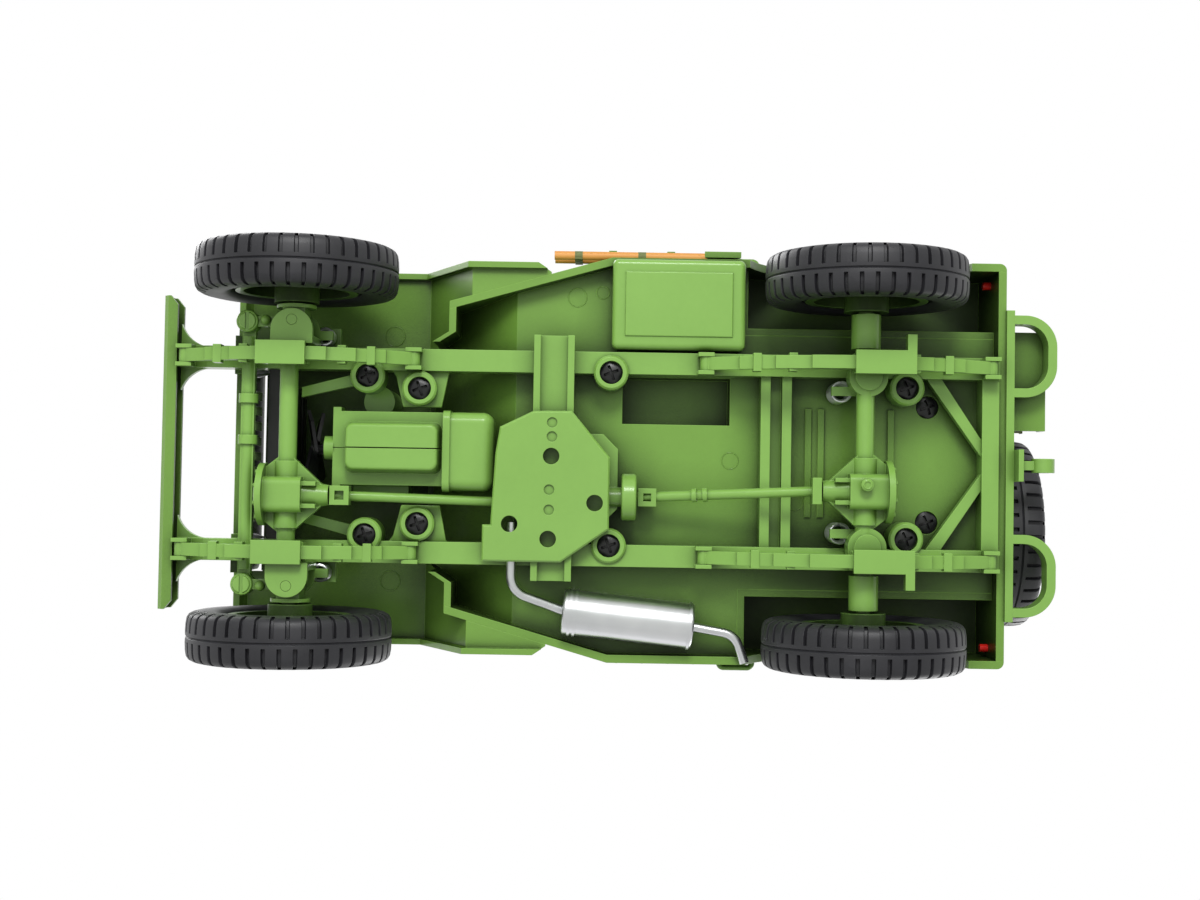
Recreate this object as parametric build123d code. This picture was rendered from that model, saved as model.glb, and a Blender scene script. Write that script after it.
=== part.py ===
from build123d import *
import os

# A 1:18 model of an open army 4x4 car, in millimetres.
# X is across (+X is the car's left), the front faces -Y, Z is up, the tyres stand on Z = 0.

# Main sizes.
WHEELBASE = 113.0
FRONT_OVERHANG = 27.6
ARCH_TO_TAIL = 9.6
LOOP_REACH = 10.2
TYRE_R = 20.0
TYRE_W = 10.0
TRACK_HALF = 36.0
TUB_HALF = 41.0
COWL_HALF = 31.6
WALL = 1.6
PLATE = 1.4

# Fits: the gap round a turning pin, and between pieces that face each other.
RUNNING = 0.07
SEAT_GAP = 0.3

# Stations along the car, worked back from the axles.
LENGTH_HALF = (FRONT_OVERHANG + WHEELBASE + TYRE_R + ARCH_TO_TAIL + LOOP_REACH) / 2
FRONT_AXLE_Y = FRONT_OVERHANG - LENGTH_HALF
REAR_AXLE_Y = FRONT_AXLE_Y + WHEELBASE
BUMPER_DEEP = 2.8
BUMPER_BACK_Y = BUMPER_DEEP - LENGTH_HALF
GRILLE_AHEAD = 14.6
GRILLE_Y = FRONT_AXLE_Y - GRILLE_AHEAD
COWL_BEHIND = 29.6
COWL_Y = FRONT_AXLE_Y + COWL_BEHIND
BULGE = 5.5
BULGE_Y = COWL_Y - BULGE
TOE_RUN = 13.6
TOE_Y = COWL_Y + TOE_RUN
GEARBOX_RUN = 33.0
GEARBOX_Y = COWL_Y + GEARBOX_RUN
ARCH_GAP = 3.9
HOUSE_Y = REAR_AXLE_Y - TYRE_R - ARCH_GAP
CABIN = HOUSE_Y - COWL_Y
FLARE_Y = COWL_Y + 0.555 * CABIN
TUB_REAR_Y = REAR_AXLE_Y + TYRE_R + ARCH_TO_TAIL
REAR_BAR = 1.6
TAIL_Y = TUB_REAR_Y + REAR_BAR

# Frame, and heights counted up from it.
RAIL_X = 19.4
RAIL_W = 4.4
RAIL_IN = RAIL_X - RAIL_W / 2
RAIL_OUT = RAIL_X + RAIL_W / 2
RAIL_LIFT = 5.5
RAIL_DEEP = 5.5
RAIL_LOW = TYRE_R + RAIL_LIFT
RAIL_TOP = RAIL_LOW + RAIL_DEEP
FLOOR_TOP = RAIL_TOP + WALL
SILL_Z = RAIL_LOW + 1.5
TUB_TALL = 21.0
TUB_TOP = RAIL_TOP + TUB_TALL
COWL_TOP = TUB_TOP + 4.0
NOSE_TOP = COWL_TOP - 1.0
FENDER_TOP = RAIL_TOP + 17.2
HOUSE_TOP = RAIL_TOP + 15.0
TOE_TOP = RAIL_TOP + 13.0
STEP_TOP = RAIL_LOW + 2.9
EVERYWHERE = (-400.0, 400.0)

# Screw bosses on each rail: across and along.
BOSS_R = 3.5
SCREW_R = 2.35
BOSSES = (
    (RAIL_X - 3.4, FRONT_AXLE_Y + 13.6),
    (RAIL_X - 5.8, BULGE_Y),
    (RAIL_X - 2.0, GEARBOX_Y),
    (RAIL_X - 4.2, TUB_REAR_Y - 20.4),
)
FLOOR_SCREW = (11.8, TUB_REAR_Y - 15.1)

# Springs and axles.
EYE_R = 1.2
SPRING_EYE_Z = RAIL_LOW - 1.4
SPRING_SAG = 7.2
SPRING_W = 2.6
LEAF = 0.8
LEAF_REACH = (1.0, 0.78, 0.54, 0.3)
CLIP_PLACES = (-0.66, -0.42, 0.42, 0.66)
FRONT_EYE_REACH = FRONT_OVERHANG - BUMPER_DEEP - 1.8
FRONT_EYES = (FRONT_AXLE_Y - FRONT_EYE_REACH, FRONT_AXLE_Y + FRONT_EYE_REACH)
REAR_EYES = (REAR_AXLE_Y - 31.4, TUB_REAR_Y - 3.6)
SADDLE_HALF = 2.8
TUBE_R = 1.8
TUBE_SET = 1.2
FRONT_DIFF_X = -8.2
REAR_DIFF_X = -5.8
COVER_R = 6.2
COIL_FRONT = (RAIL_X + 4.4, FRONT_AXLE_Y + 4.7)
COIL_REAR = (RAIL_X - 5.2, REAR_AXLE_Y - 4.2)
FRONT_COIL_R = 1.9
REAR_COIL_R = 2.2
COIL_SEAT = 0.9
CUP_TOP = TYRE_R + 3.2

# Steering.
KING_X = TRACK_HALF - 10.0
KINGPIN_R = 1.0
SPINDLE_R = 1.5
DRUM_R = 4.4
ARM_LENGTH = 9.6
ARM_Y = FRONT_AXLE_Y - ARM_LENGTH
ROD_Z = TYRE_R + 2.1
YOKE_X = RAIL_OUT - 0.2
YOKE_R = 4.1
YOKE_LOW = TYRE_R - 5.2
YOKE_TOP = TYRE_R + 5.2

# Wheels.
RIM_R = 0.565 * TYRE_R
RIM_LIP = RIM_R + 0.7
RIM_HALF = 4.2
HUB_FACE = 4.6

# Engine and drive line.
ENGINE_X = 1.4
ENGINE_HALF = 7.4
ENGINE_FRONT_Y = FRONT_AXLE_Y + 6.9
BELL_Y = COWL_Y
BELL_RUN = 9.6
FAN_Z = RAIL_TOP + 9.0
OUTPUT_X = -7.6
OUTPUT_Z = TYRE_R + 5.8
MUFFLER_R = 4.5
MUFFLER_Z = RAIL_LOW + 0.4
BEAM_W = 8.1
BEAM_Y = (GEARBOX_Y - 15.5, GEARBOX_Y - 15.5 + BEAM_W)
BEAM_LIP = 1.3

# Front sheet metal.
GRILLE_HALF = 24.3
GRILLE_LOW = RAIL_TOP + 0.5
SLOT_PITCH = 3.25
SLOT_HALF = 0.95
LAMP_X = 19.4
LAMP_Z = RAIL_TOP + 12.2
LAMP_R = 3.4
MARKER_Z = RAIL_TOP + 6.4
MARKER_R = 1.2
FENDER_IN = 20.0
FENDER_OUT = TUB_HALF - 1.4
FENDER_LIP = 1.2
STEP_RUN = 20.6
BULGE_HALF = 21.9
HOOD_REAR_Y = COWL_Y - 0.5

# Tub.
HOUSE_X = RAIL_X + 6.6
DOOR_Y = FLARE_Y + 3.0
DOOR_W = 32.0
DOOR_TALL = 30.0
DOOR_BEND = 6.0
ARCH_REVEAL = 3.6
DOOR_LOW = RAIL_TOP + 9.0
DASH_Y = COWL_Y + 11.0
DASH_LOW = COWL_TOP - 6.5
TAIL_R = 1.7
TAIL_X = TUB_HALF - 3.6
TAIL_Z = RAIL_TOP + 3.5
STUD_R = 0.8

# Windshield.
SCREEN_Y = COWL_Y + 2.6
SCREEN_PIVOT_Z = COWL_TOP + 1.4
SCREEN_HALF = COWL_HALF - 3.1
SCREEN_TALL = 30.6
SCREEN_TOP = SCREEN_PIVOT_Z + SCREEN_TALL
SCREEN_T = 0.8
PANE_LOW = SCREEN_PIVOT_Z + 9.6
PANE_TOP = SCREEN_TOP - 2.2
PANE_IN = 0.8
PANE_OUT = SCREEN_HALF - 2.1
PIVOT_R = 0.5

# Seats: the box that the driver's seat stands on is open to below.
SEAT_X = (9.8, HOUSE_X - 0.6)
SEAT_BOX_X = (6.4, 18.0)
SEAT_BOX_Y = (FLARE_Y + 1.4, FLARE_Y + 25.4)
CUSHION_LOW = FLOOR_TOP + 5.4
CUSHION_TOP = CUSHION_LOW + 4.4
BACK_TOP = CUSHION_TOP + 15.6

# Load and fittings outside.
LOOP_X = 22.2
LOOP_W = 16.6
LOOP_BEND = 6.4
LOOP_WALL = 1.8
LOOP_LOW = RAIL_LOW + 1.0
LOOP_DEEP = 4.0
PINTLE_R = 1.3
PINTLE_Y = TUB_REAR_Y + 6.8
PINTLE_Z = RAIL_LOW - 1.3
SPARE_X = -14.0
SPARE_Y = TUB_REAR_Y + 5.1
SPARE_Z = RAIL_TOP + TYRE_R + 0.6
CAN_W = 18.8
CAN_X = (SPARE_X + TYRE_R + 2.0, SPARE_X + TYRE_R + 2.0 + CAN_W)
CAN_Y = (TUB_REAR_Y + 0.5, TUB_REAR_Y + 8.0)
CAN_Z = (RAIL_TOP + 1.0, RAIL_TOP + 24.0)
HANDLE_R = 0.9
TOOL_X = TUB_HALF + HANDLE_R
AXE_Z = RAIL_LOW + 5.9
SHOVEL_Z = AXE_Z + 5.0
TOOL_FRONT_Y = FLARE_Y - 12.0


def block(x, y, z):
    """Box given by its low and high limits along X, Y and Z."""
    size = Box(x[1] - x[0], y[1] - y[0], z[1] - z[0])
    return Pos((x[0] + x[1]) / 2, (y[0] + y[1]) / 2, (z[0] + z[1]) / 2) * size


def around(middle, half):
    """Limits on both sides of a middle."""
    return (middle - half, middle + half)


def rod(radius, start, end):
    """Round bar between two points."""
    along = Vector(*end) - Vector(*start)
    bar = Cylinder(radius, along.length, align=(Align.CENTER, Align.CENTER, Align.MIN))
    return Plane(origin=start, z_dir=along) * bar


def cone(start_r, end_r, start, end):
    """Tapered round bar between two points."""
    along = Vector(*end) - Vector(*start)
    bar = Cone(start_r, end_r, along.length, align=(Align.CENTER, Align.CENTER, Align.MIN))
    return Plane(origin=start, z_dir=along) * bar


def upright(radius, x, y, z):
    """Vertical cylinder between two heights."""
    return rod(radius, (x, y, z[0]), (x, y, z[1]))


def side_cut(points, x):
    """Outline in Y and Z, extruded along X."""
    outline = Polygon(*points, align=None)
    return extrude(Plane.YZ.offset(x[0]) * outline, x[1] - x[0], dir=(1, 0, 0))


def plan_cut(points, z):
    """Outline in X and Y, extruded along Z."""
    outline = Polygon(*points, align=None)
    return flat(outline, z)


def flat(sketch, z):
    """A sketch in X and Y, extruded between two heights."""
    return extrude(Plane.XY.offset(z[0]) * sketch, z[1] - z[0], dir=(0, 0, 1))


def pipe(radius, bend, *points):
    """Round bar along a polyline with rounded bends."""
    path = FilletPolyline(*points, radius=bend)
    start = Plane(origin=points[0], z_dir=Vector(*points[1]) - Vector(*points[0]))
    return sweep(start * Circle(radius), path=path)


def gather(*shapes):
    """Several shapes as the separate solids of one node."""
    return Compound([solid for shape in shapes for solid in shape.solids()])


def other_side(shape):
    """The same piece on the car's right."""
    return mirror(shape, about=Plane.YZ)


def pair(shape):
    """The piece and its mirror image, as separate solids."""
    return gather(shape, other_side(shape))


def mirrored(points):
    """Plan points of the car's left, carried to its right in the opposite order."""
    return [(-x, y) for x, y in reversed(points)]


def turned(points):
    """Outline in X and radius, turned about the X axis."""
    return revolve(Plane.XY * Polygon(*points, align=None), axis=Axis.X)


# Wheels: shapes about their own centre, with the outer face towards +X.
def tyre():
    half = TYRE_W / 2
    outer = [
        (3.3, RIM_R + 0.05), (3.5, RIM_R + 1.0), (half, RIM_R + 3.7), (half, TYRE_R - 3.2),
        (4.7, TYRE_R - 1.5), (4.0, TYRE_R - 0.4), (2.6, TYRE_R - 0.07), (0.4, TYRE_R), (0.2, TYRE_R - 0.5),
    ]
    inner = [(-x, radius) for x, radius in reversed(outer)]
    return turned(outer + inner)


def wheel_body():
    barrel = turned([
        (-RIM_HALF, RIM_R - 0.9), (RIM_HALF, RIM_R - 0.9), (RIM_HALF, RIM_LIP), (RIM_HALF - 0.5, RIM_LIP),
        (RIM_HALF - 0.5, RIM_R), (0.5 - RIM_HALF, RIM_R), (0.5 - RIM_HALF, RIM_LIP), (-RIM_HALF, RIM_LIP),
    ])
    disc = turned([
        (1.4, RIM_R - 0.6), (0.4, RIM_R - 2.3), (1.6, RIM_R - 3.9), (1.6, 0), (HUB_FACE, 0), (HUB_FACE, 2.6),
        (HUB_FACE - 0.4, 3.2), (2.9, 3.4), (2.9, RIM_R - 4.3), (1.8, RIM_R - 2.1), (2.6, RIM_R - 0.6),
    ])
    return barrel + disc


def wheel(drum):
    rim = wheel_body()
    if drum:
        rim += rod(DRUM_R, (-6.3, 0, 0), (2.0, 0, 0))
    return rim - rod(SPINDLE_R + RUNNING, (-7.0, 0, 0), (3.4, 0, 0))


def at_corner(shape, left, axle_y):
    """A wheel shape moved to its corner; the right side is the left one mirrored."""
    placed = Pos(TRACK_HALF, axle_y, TYRE_R) * shape
    return placed if left else other_side(placed)


# Frame and what it carries.
def bumper_gusset():
    """Flat bracket between rail and bumper, hollowed on both sides."""
    spread = 4.5
    run = 7.0
    outline = Polygon(
        (RAIL_IN - spread, BUMPER_BACK_Y), (RAIL_OUT + spread, BUMPER_BACK_Y),
        (RAIL_OUT, BUMPER_BACK_Y + run), (RAIL_IN, BUMPER_BACK_Y + run), align=None)
    hollow = Circle(6.5)
    outline -= Pos(RAIL_OUT + 6.46, BUMPER_BACK_Y + 6.2) * hollow
    outline -= Pos(RAIL_IN - 6.46, BUMPER_BACK_Y + 6.2) * hollow
    return flat(outline, (RAIL_TOP - 2.8, RAIL_TOP - 1.4))


def spring_hanger(eye_y):
    hanger = block(around(RAIL_X, 2.2), around(eye_y, 1.6), (SPRING_EYE_Z - 1.5, RAIL_LOW + 2.0))
    return hanger - block(around(RAIL_X, 1.4), around(eye_y, 2.0), (SPRING_EYE_Z - 2.0, RAIL_LOW))


def screw_boss(x, y):
    boss = upright(BOSS_R, x, y, (RAIL_LOW - 1.0, RAIL_TOP - 0.4))
    return chamfer(boss.edges().sort_by(Axis.Z)[0], 0.4)


def frame_rail():
    tail = TUB_REAR_Y - WALL
    rail = side_cut([
        (BUMPER_BACK_Y, RAIL_LOW + 1.6), (BUMPER_BACK_Y + 6.0, RAIL_LOW), (tail, RAIL_LOW),
        (tail, RAIL_TOP), (BUMPER_BACK_Y, RAIL_TOP),
    ], (RAIL_IN, RAIL_OUT))
    rail += bumper_gusset()
    for eye_y in FRONT_EYES + REAR_EYES:
        rail += spring_hanger(eye_y)
    shield_x, shield_y = BOSSES[1]
    rail += plan_cut([
        (RAIL_IN + 1, shield_y - 6.5), (shield_x, shield_y - 3.3), (shield_x, shield_y + 3.3),
        (RAIL_IN + 1, shield_y + 6.5),
    ], (RAIL_LOW + 2.0, RAIL_LOW + 3.5))
    for x, y in BOSSES:
        rail += screw_boss(x, y)
    for x, y in BOSSES:
        rail -= upright(SCREW_R, x, y, (RAIL_LOW - 2.0, RAIL_LOW + 0.6))
    stay_x, stay_y = BOSSES[0]
    rail += plan_cut([
        (stay_x - 1.2, stay_y), (stay_x + 1.2, stay_y),
        (stay_x - 2.4, FRONT_AXLE_Y), (stay_x - 4.4, FRONT_AXLE_Y),
    ], (RAIL_LOW + 2.0, RAIL_LOW + 3.6))
    coil_x, coil_y = COIL_FRONT
    return rail + block((RAIL_OUT - 1, coil_x + 2.0), around(coil_y, 2.6), (RAIL_TOP - 1.4, RAIL_TOP))


def front_bumper():
    half = TUB_HALF - 9.5
    low = RAIL_LOW - 1.0
    top = RAIL_TOP - 0.4
    sheet = 0.9
    face = -LENGTH_HALF
    channel = side_cut([
        (face, low + sheet), (face + sheet, low), (BUMPER_BACK_Y, low), (BUMPER_BACK_Y, low + sheet),
        (face + sheet, low + sheet), (face + sheet, top - sheet), (BUMPER_BACK_Y, top - sheet),
        (BUMPER_BACK_Y, top), (face + sheet, top), (face, top - sheet),
    ], (-half, half))
    corner = plan_cut([
        (half, face + 1.4), (half + 1, face + 1.4),
        (half + 1, BUMPER_BACK_Y + 1), (half - 3, BUMPER_BACK_Y + 1),
    ], (low - 1, top + 1))
    return channel - corner - other_side(corner)


def bumperette():
    outer = RectangleRounded(LOOP_W, 2 * LOOP_REACH, LOOP_BEND)
    inner = RectangleRounded(LOOP_W - 2 * LOOP_WALL, 2 * (LOOP_REACH - LOOP_WALL), LOOP_BEND - LOOP_WALL)
    loop = Pos(LOOP_X, TUB_REAR_Y, LOOP_LOW) * extrude(outer - inner, LOOP_DEEP)
    return loop - block(EVERYWHERE, (TUB_REAR_Y - 2 * LOOP_REACH, TAIL_Y), EVERYWHERE)


def pintle_hook():
    hook = block((-3.2, 3.2), (TAIL_Y, TAIL_Y + 1), (PINTLE_Z - 1.6, RAIL_TOP - 1))
    hook += block((-0.9, 0.9), (TAIL_Y, PINTLE_Y), around(PINTLE_Z, 1.0))
    hook += rod(2.3, (-1.4, PINTLE_Y, PINTLE_Z), (1.4, PINTLE_Y, PINTLE_Z))
    return hook - rod(PINTLE_R, (-2, PINTLE_Y, PINTLE_Z), (2, PINTLE_Y, PINTLE_Z))


def gearbox_crossmember():
    half = RAIL_OUT + 3.0
    front, back = BEAM_Y
    beam = block((-half, half), BEAM_Y, (RAIL_LOW - 1.2, RAIL_LOW))
    for lip in ((front, front + BEAM_LIP), (back - BEAM_LIP, back)):
        beam += block((-half, half), lip, (RAIL_LOW - 2.5, RAIL_LOW))
    return beam


# Skid plate: its outline, holes and moulded dimples in X and Y, with Y from the gearbox's rear.
SKID_EDGE = (
    (0.8, -22.8), (6.0, -22.0), (9.3, -15.3), (9.4, -7.7), (0.2, 0.0), (-14.1, 0.0),
    (-20.8, -9.5), (-20.8, -25.2), (-13.5, -25.2), (-13.5, -23.6),
)
SKID_HOLES = ((0.3, -11.7), (-8.9, -2.9), (-13.3, -19.8), (-16.2, -12.1))
SKID_DIMPLES = ((7.0, -11.6), (4.2, -11.6), (-6.4, -12.0), (-10.4, -12.0))
SKID_HOLE_R = 1.65
DIMPLE_R = 1.05


def skid_plate():
    low = RAIL_LOW - 3.9
    plate = plan_cut(SKID_EDGE, (low, RAIL_LOW - 2.5))
    plate = chamfer(plate.faces().sort_by(Axis.Z)[0].edges(), 0.35)
    for x, y in SKID_HOLES:
        plate -= upright(SKID_HOLE_R, x, y, (low - 1, RAIL_LOW))
    for x, y in SKID_DIMPLES:
        plate -= upright(DIMPLE_R, x, y, (low - 1, low + 0.4))
    return Pos(0, GEARBOX_Y, 0) * plate


def rear_crossmembers():
    front = HOUSE_Y + 3.9
    seat_beam = block((-RAIL_IN, RAIL_IN), (front, front + 6.2), (RAIL_TOP - 1.6, RAIL_TOP))
    for start in (front, front + 4.3):
        seat_beam += block((-RAIL_IN, RAIL_IN), (start, start + 1.9), (RAIL_LOW + 1.2, RAIL_TOP))
    tail_beam = block((-RAIL_IN, RAIL_IN), (TUB_REAR_Y - 5.0, TUB_REAR_Y - WALL), (RAIL_LOW + 0.5, RAIL_TOP))
    half = TUB_HALF - 9.5
    tail_bar = block((-half, half), (TUB_REAR_Y, TAIL_Y), (SILL_Z - 0.5, RAIL_TOP - 0.4))
    return gather(seat_beam, tail_beam, tail_bar)


def rear_brace():
    beam_y = TUB_REAR_Y - 5.0
    return plan_cut([
        (RAIL_IN, beam_y - 11.0), (RAIL_IN, beam_y - 8.0), (5.2, beam_y), (1.8, beam_y),
    ], (RAIL_LOW + 1.5, RAIL_LOW + 3.7))


# Springs, axles and drive line.
def spring_arc(eyes):
    """Middle, radius and centre height of a spring's upper face."""
    half = (eyes[1] - eyes[0]) / 2
    radius = (half ** 2 + SPRING_SAG ** 2) / (2 * SPRING_SAG)
    return (eyes[0] + eyes[1]) / 2, radius, SPRING_EYE_Z - SPRING_SAG + radius


def spring_top(eyes, y):
    """Height of a spring's upper face at a given Y."""
    middle, radius, centre_z = spring_arc(eyes)
    return centre_z - (radius ** 2 - (y - middle) ** 2) ** 0.5


def leaf_spring(eyes, plate_y):
    """A pack of curved leaves with eyes, clips and the plate under the axle."""
    middle, radius, centre_z = spring_arc(eyes)
    half = (eyes[1] - eyes[0]) / 2
    parts = []
    for leaf, reach in enumerate(LEAF_REACH):
        face = Circle(radius + (leaf + 1) * LEAF) - Circle(radius + leaf * LEAF)
        face &= Pos(0, -radius) * Rectangle(2 * half * reach, 2 * radius)
        parts.append(extrude(Plane.YZ.offset(RAIL_X - SPRING_W / 2) * Pos(middle, centre_z) * face, SPRING_W))
    for eye_y in eyes:
        parts.append(rod(EYE_R, (RAIL_X - 1.35, eye_y, SPRING_EYE_Z), (RAIL_X + 1.35, eye_y, SPRING_EYE_Z)))
    for place in CLIP_PLACES:
        clip_y = middle + place * half
        clip_z = spring_top(eyes, clip_y) - LEAF
        parts.append(block(around(RAIL_X, 1.8), around(clip_y, 0.8), around(clip_z, 1.3)))
    low = SPRING_EYE_Z - SPRING_SAG - len(LEAF_REACH) * LEAF
    parts.append(block(around(RAIL_X, 2.3), plate_y, (low - 0.9, low + 0.5)))
    spring = parts[0]
    for part in parts[1:]:
        spring += part
    return spring


def leaf_springs():
    front = leaf_spring(FRONT_EYES, (FRONT_AXLE_Y - 6.6, FRONT_AXLE_Y + 3.0))
    rear_plate = (REAR_AXLE_Y - 3.0, REAR_AXLE_Y + 8.8)
    rear = leaf_spring(REAR_EYES, rear_plate)
    low = SPRING_EYE_Z - SPRING_SAG - len(LEAF_REACH) * LEAF
    rear += block((RAIL_X, RAIL_X + 5.4), (rear_plate[1] - 1.8, rear_plate[1]), (low - 0.9, low + 1.2))
    return gather(pair(front), pair(rear))


def coil_springs():
    front = upright(FRONT_COIL_R, *COIL_FRONT, (YOKE_TOP, RAIL_TOP - 1.4))
    rear = upright(REAR_COIL_R, *COIL_REAR, (CUP_TOP, RAIL_TOP))
    return gather(pair(front), pair(rear))


def spring_saddle(eyes, axle_y):
    """Block that sits on the spring and carries the axle."""
    low = max(spring_top(eyes, y) for y in around(axle_y, SADDLE_HALF))
    return block(around(RAIL_X, 1.9), around(axle_y, SADDLE_HALF), (low, TYRE_R))


def diff_housing(x, y, ahead):
    """Axle casing in the middle: body, bolted cover, nose and webs; the nose points along Y by ahead."""
    body = block(around(x, 3.5), around(y - 0.6 * ahead, 4.0), around(TYRE_R, 4.4))
    casing = fillet(body.edges().filter_by(Axis.Y), 1.5)
    cover_y = y - 4.0 * ahead
    casing += rod(COVER_R, (x, cover_y, TYRE_R), (x, cover_y - 1.2 * ahead, TYRE_R))
    casing += cone(4.6, 3.2, (x, cover_y - 1.2 * ahead, TYRE_R), (x, cover_y - 2.0 * ahead, TYRE_R))
    casing += cone(3.2, 2.0, (x, y + 2.0 * ahead, TYRE_R), (x, y + 8.4 * ahead, TYRE_R))
    webs = plan_cut([
        (x - 8.6, y), (x + 8.6, y), (x + 1.8, y + 7.4 * ahead), (x - 1.8, y + 7.4 * ahead),
    ], around(TYRE_R, 1.0))
    webs += plan_cut([
        (x - 8.6, y), (x + 8.6, y), (x + 5.0, y - 4.6 * ahead), (x - 5.0, y - 4.6 * ahead),
    ], around(TYRE_R, 1.0))
    for side in (-1, 1):
        casing += rod(2.5, (x + side * 3.0, y, TYRE_R), (x + side * 6.6, y, TYRE_R))
        casing += block(around(x + side * 2.2, 0.4), around(y + 3.4 * ahead, 2.8), around(TYRE_R - 2.0, 1.4))
    return casing + webs


def front_yoke():
    """Round-ended jaw that holds one kingpin, open between its two plates."""
    y = around(FRONT_AXLE_Y, YOKE_R)
    yoke = block((YOKE_X, YOKE_X + WALL), y, (YOKE_LOW, YOKE_TOP))
    centre_x = KING_X - 1.9
    jaw = Pos(centre_x, FRONT_AXLE_Y) * Circle(YOKE_R)
    jaw += Pos((YOKE_X + centre_x) / 2, FRONT_AXLE_Y) * Rectangle(centre_x - YOKE_X, 2 * YOKE_R)
    jaw &= Pos(YOKE_X + 2 * YOKE_R, FRONT_AXLE_Y) * Rectangle(4 * YOKE_R, 4 * YOKE_R)
    for low in (YOKE_LOW, YOKE_TOP - PLATE):
        yoke += flat(jaw, (low, low + PLATE))
    coil_x, coil_y = COIL_FRONT
    seat_y = (FRONT_AXLE_Y, coil_y + FRONT_COIL_R)
    yoke += block(around(coil_x, COIL_SEAT), seat_y, (YOKE_TOP - PLATE, YOKE_TOP))
    return yoke - upright(KINGPIN_R + RUNNING, KING_X, FRONT_AXLE_Y, EVERYWHERE)


def front_axle():
    tube_y = FRONT_AXLE_Y - TUBE_SET
    half = YOKE_X + 0.6
    axle = rod(TUBE_R, (-half, tube_y, TYRE_R), (half, tube_y, TYRE_R))
    axle += diff_housing(FRONT_DIFF_X, tube_y, 1)
    ends = front_yoke() + spring_saddle(FRONT_EYES, FRONT_AXLE_Y)
    return axle + ends + other_side(ends)


def rear_axle():
    stub_x = RAIL_OUT + 0.8
    end_x = TRACK_HALF - 6.8
    axle = rod(TUBE_R, (-end_x, REAR_AXLE_Y, TYRE_R), (end_x, REAR_AXLE_Y, TYRE_R))
    axle += diff_housing(REAR_DIFF_X, REAR_AXLE_Y, -1)
    coil_x, coil_y = COIL_REAR
    cup_x = RAIL_X - 2.6
    end = rod(2.9, (stub_x, REAR_AXLE_Y, TYRE_R), (end_x, REAR_AXLE_Y, TYRE_R))
    end += rod(SPINDLE_R, (end_x - 1, REAR_AXLE_Y, TYRE_R), (TRACK_HALF + 3.0, REAR_AXLE_Y, TYRE_R))
    end += spring_saddle(REAR_EYES, REAR_AXLE_Y)
    end += upright(3.8, cup_x, REAR_AXLE_Y + 0.4, (TYRE_R - 1.6, CUP_TOP))
    end += upright(2.6, cup_x, REAR_AXLE_Y + 0.4, (TYRE_R - 2.2, CUP_TOP))
    end += block(around(coil_x, COIL_SEAT), (coil_y - REAR_COIL_R, REAR_AXLE_Y), (CUP_TOP - 1.2, CUP_TOP))
    end += block(around(coil_x, COIL_SEAT), around(REAR_AXLE_Y, 1.2), (TYRE_R, CUP_TOP))
    return axle + end + other_side(end)


def yoke_ring(x, y, z, size):
    """Universal joint: a square ring seen from below, round the end of a shaft."""
    ring = block(around(x, size), around(y, size), around(z, 1.6))
    return ring - block(around(x, size - 1.0), around(y, size - 1.0), (z - 2.0, z - 0.5))


def drive_shafts():
    front_y = FRONT_AXLE_Y - TUBE_SET + 8.4 + SEAT_GAP
    front = rod(0.95, (FRONT_DIFF_X, front_y, TYRE_R), (FRONT_DIFF_X - 0.8, GEARBOX_Y - 20.2, RAIL_LOW + 1.4))
    front += yoke_ring(FRONT_DIFF_X, front_y + 1.9, TYRE_R, 1.9)
    rear_y = REAR_AXLE_Y - 8.4 - SEAT_GAP
    start = (OUTPUT_X, GEARBOX_Y + 5.8, OUTPUT_Z)
    end = (REAR_DIFF_X, rear_y, TYRE_R)
    along = Vector(*end) - Vector(*start)
    rear = rod(1.0, start, end)
    for place in (0.30, 0.36):
        ring = Vector(*start) + along * place
        rear += rod(1.4, tuple(ring), tuple(ring + along * 0.025))
    rear += block(around(REAR_DIFF_X, 2.6), (rear_y - 1.8, rear_y), around(TYRE_R, 2.2))
    rear += yoke_ring(OUTPUT_X, GEARBOX_Y + 7.6, OUTPUT_Z - 0.2, 1.8)
    return gather(front, rear)


def transfer_case():
    case = block((-13.0, 5.0), (GEARBOX_Y - 20.0, GEARBOX_Y + 1.6), (RAIL_LOW, RAIL_TOP - 0.2))
    case = chamfer(case.edges().filter_by(Axis.Z), 3.0)
    case += rod(2.0, (OUTPUT_X, GEARBOX_Y, OUTPUT_Z), (OUTPUT_X, GEARBOX_Y + 3.0, OUTPUT_Z))
    drum = rod(4.7, (OUTPUT_X, GEARBOX_Y + 2.4, OUTPUT_Z), (OUTPUT_X, GEARBOX_Y + 5.4, OUTPUT_Z))
    drum = fillet(drum.edges(), 0.5)
    return case + drum


def oil_pan():
    """Tapered sump with rounded corners, drawn down from the crankcase."""
    y = (ENGINE_FRONT_Y + 2.3, BELL_Y - 0.8)
    width = 10.5
    length = y[1] - y[0]
    centre = (ENGINE_X + 0.2, (y[0] + y[1]) / 2)
    pan = loft([
        Plane.XY.offset(RAIL_LOW + 0.5) * Pos(*centre) * RectangleRounded(width, length, 1.6),
        Plane.XY.offset(RAIL_LOW - 4.1) * Pos(*centre) * RectangleRounded(width - 1.4, length - 1.4, 1.6),
    ])
    return fillet(pan.faces().sort_by(Axis.Z)[0].edges(), 0.7)


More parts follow.
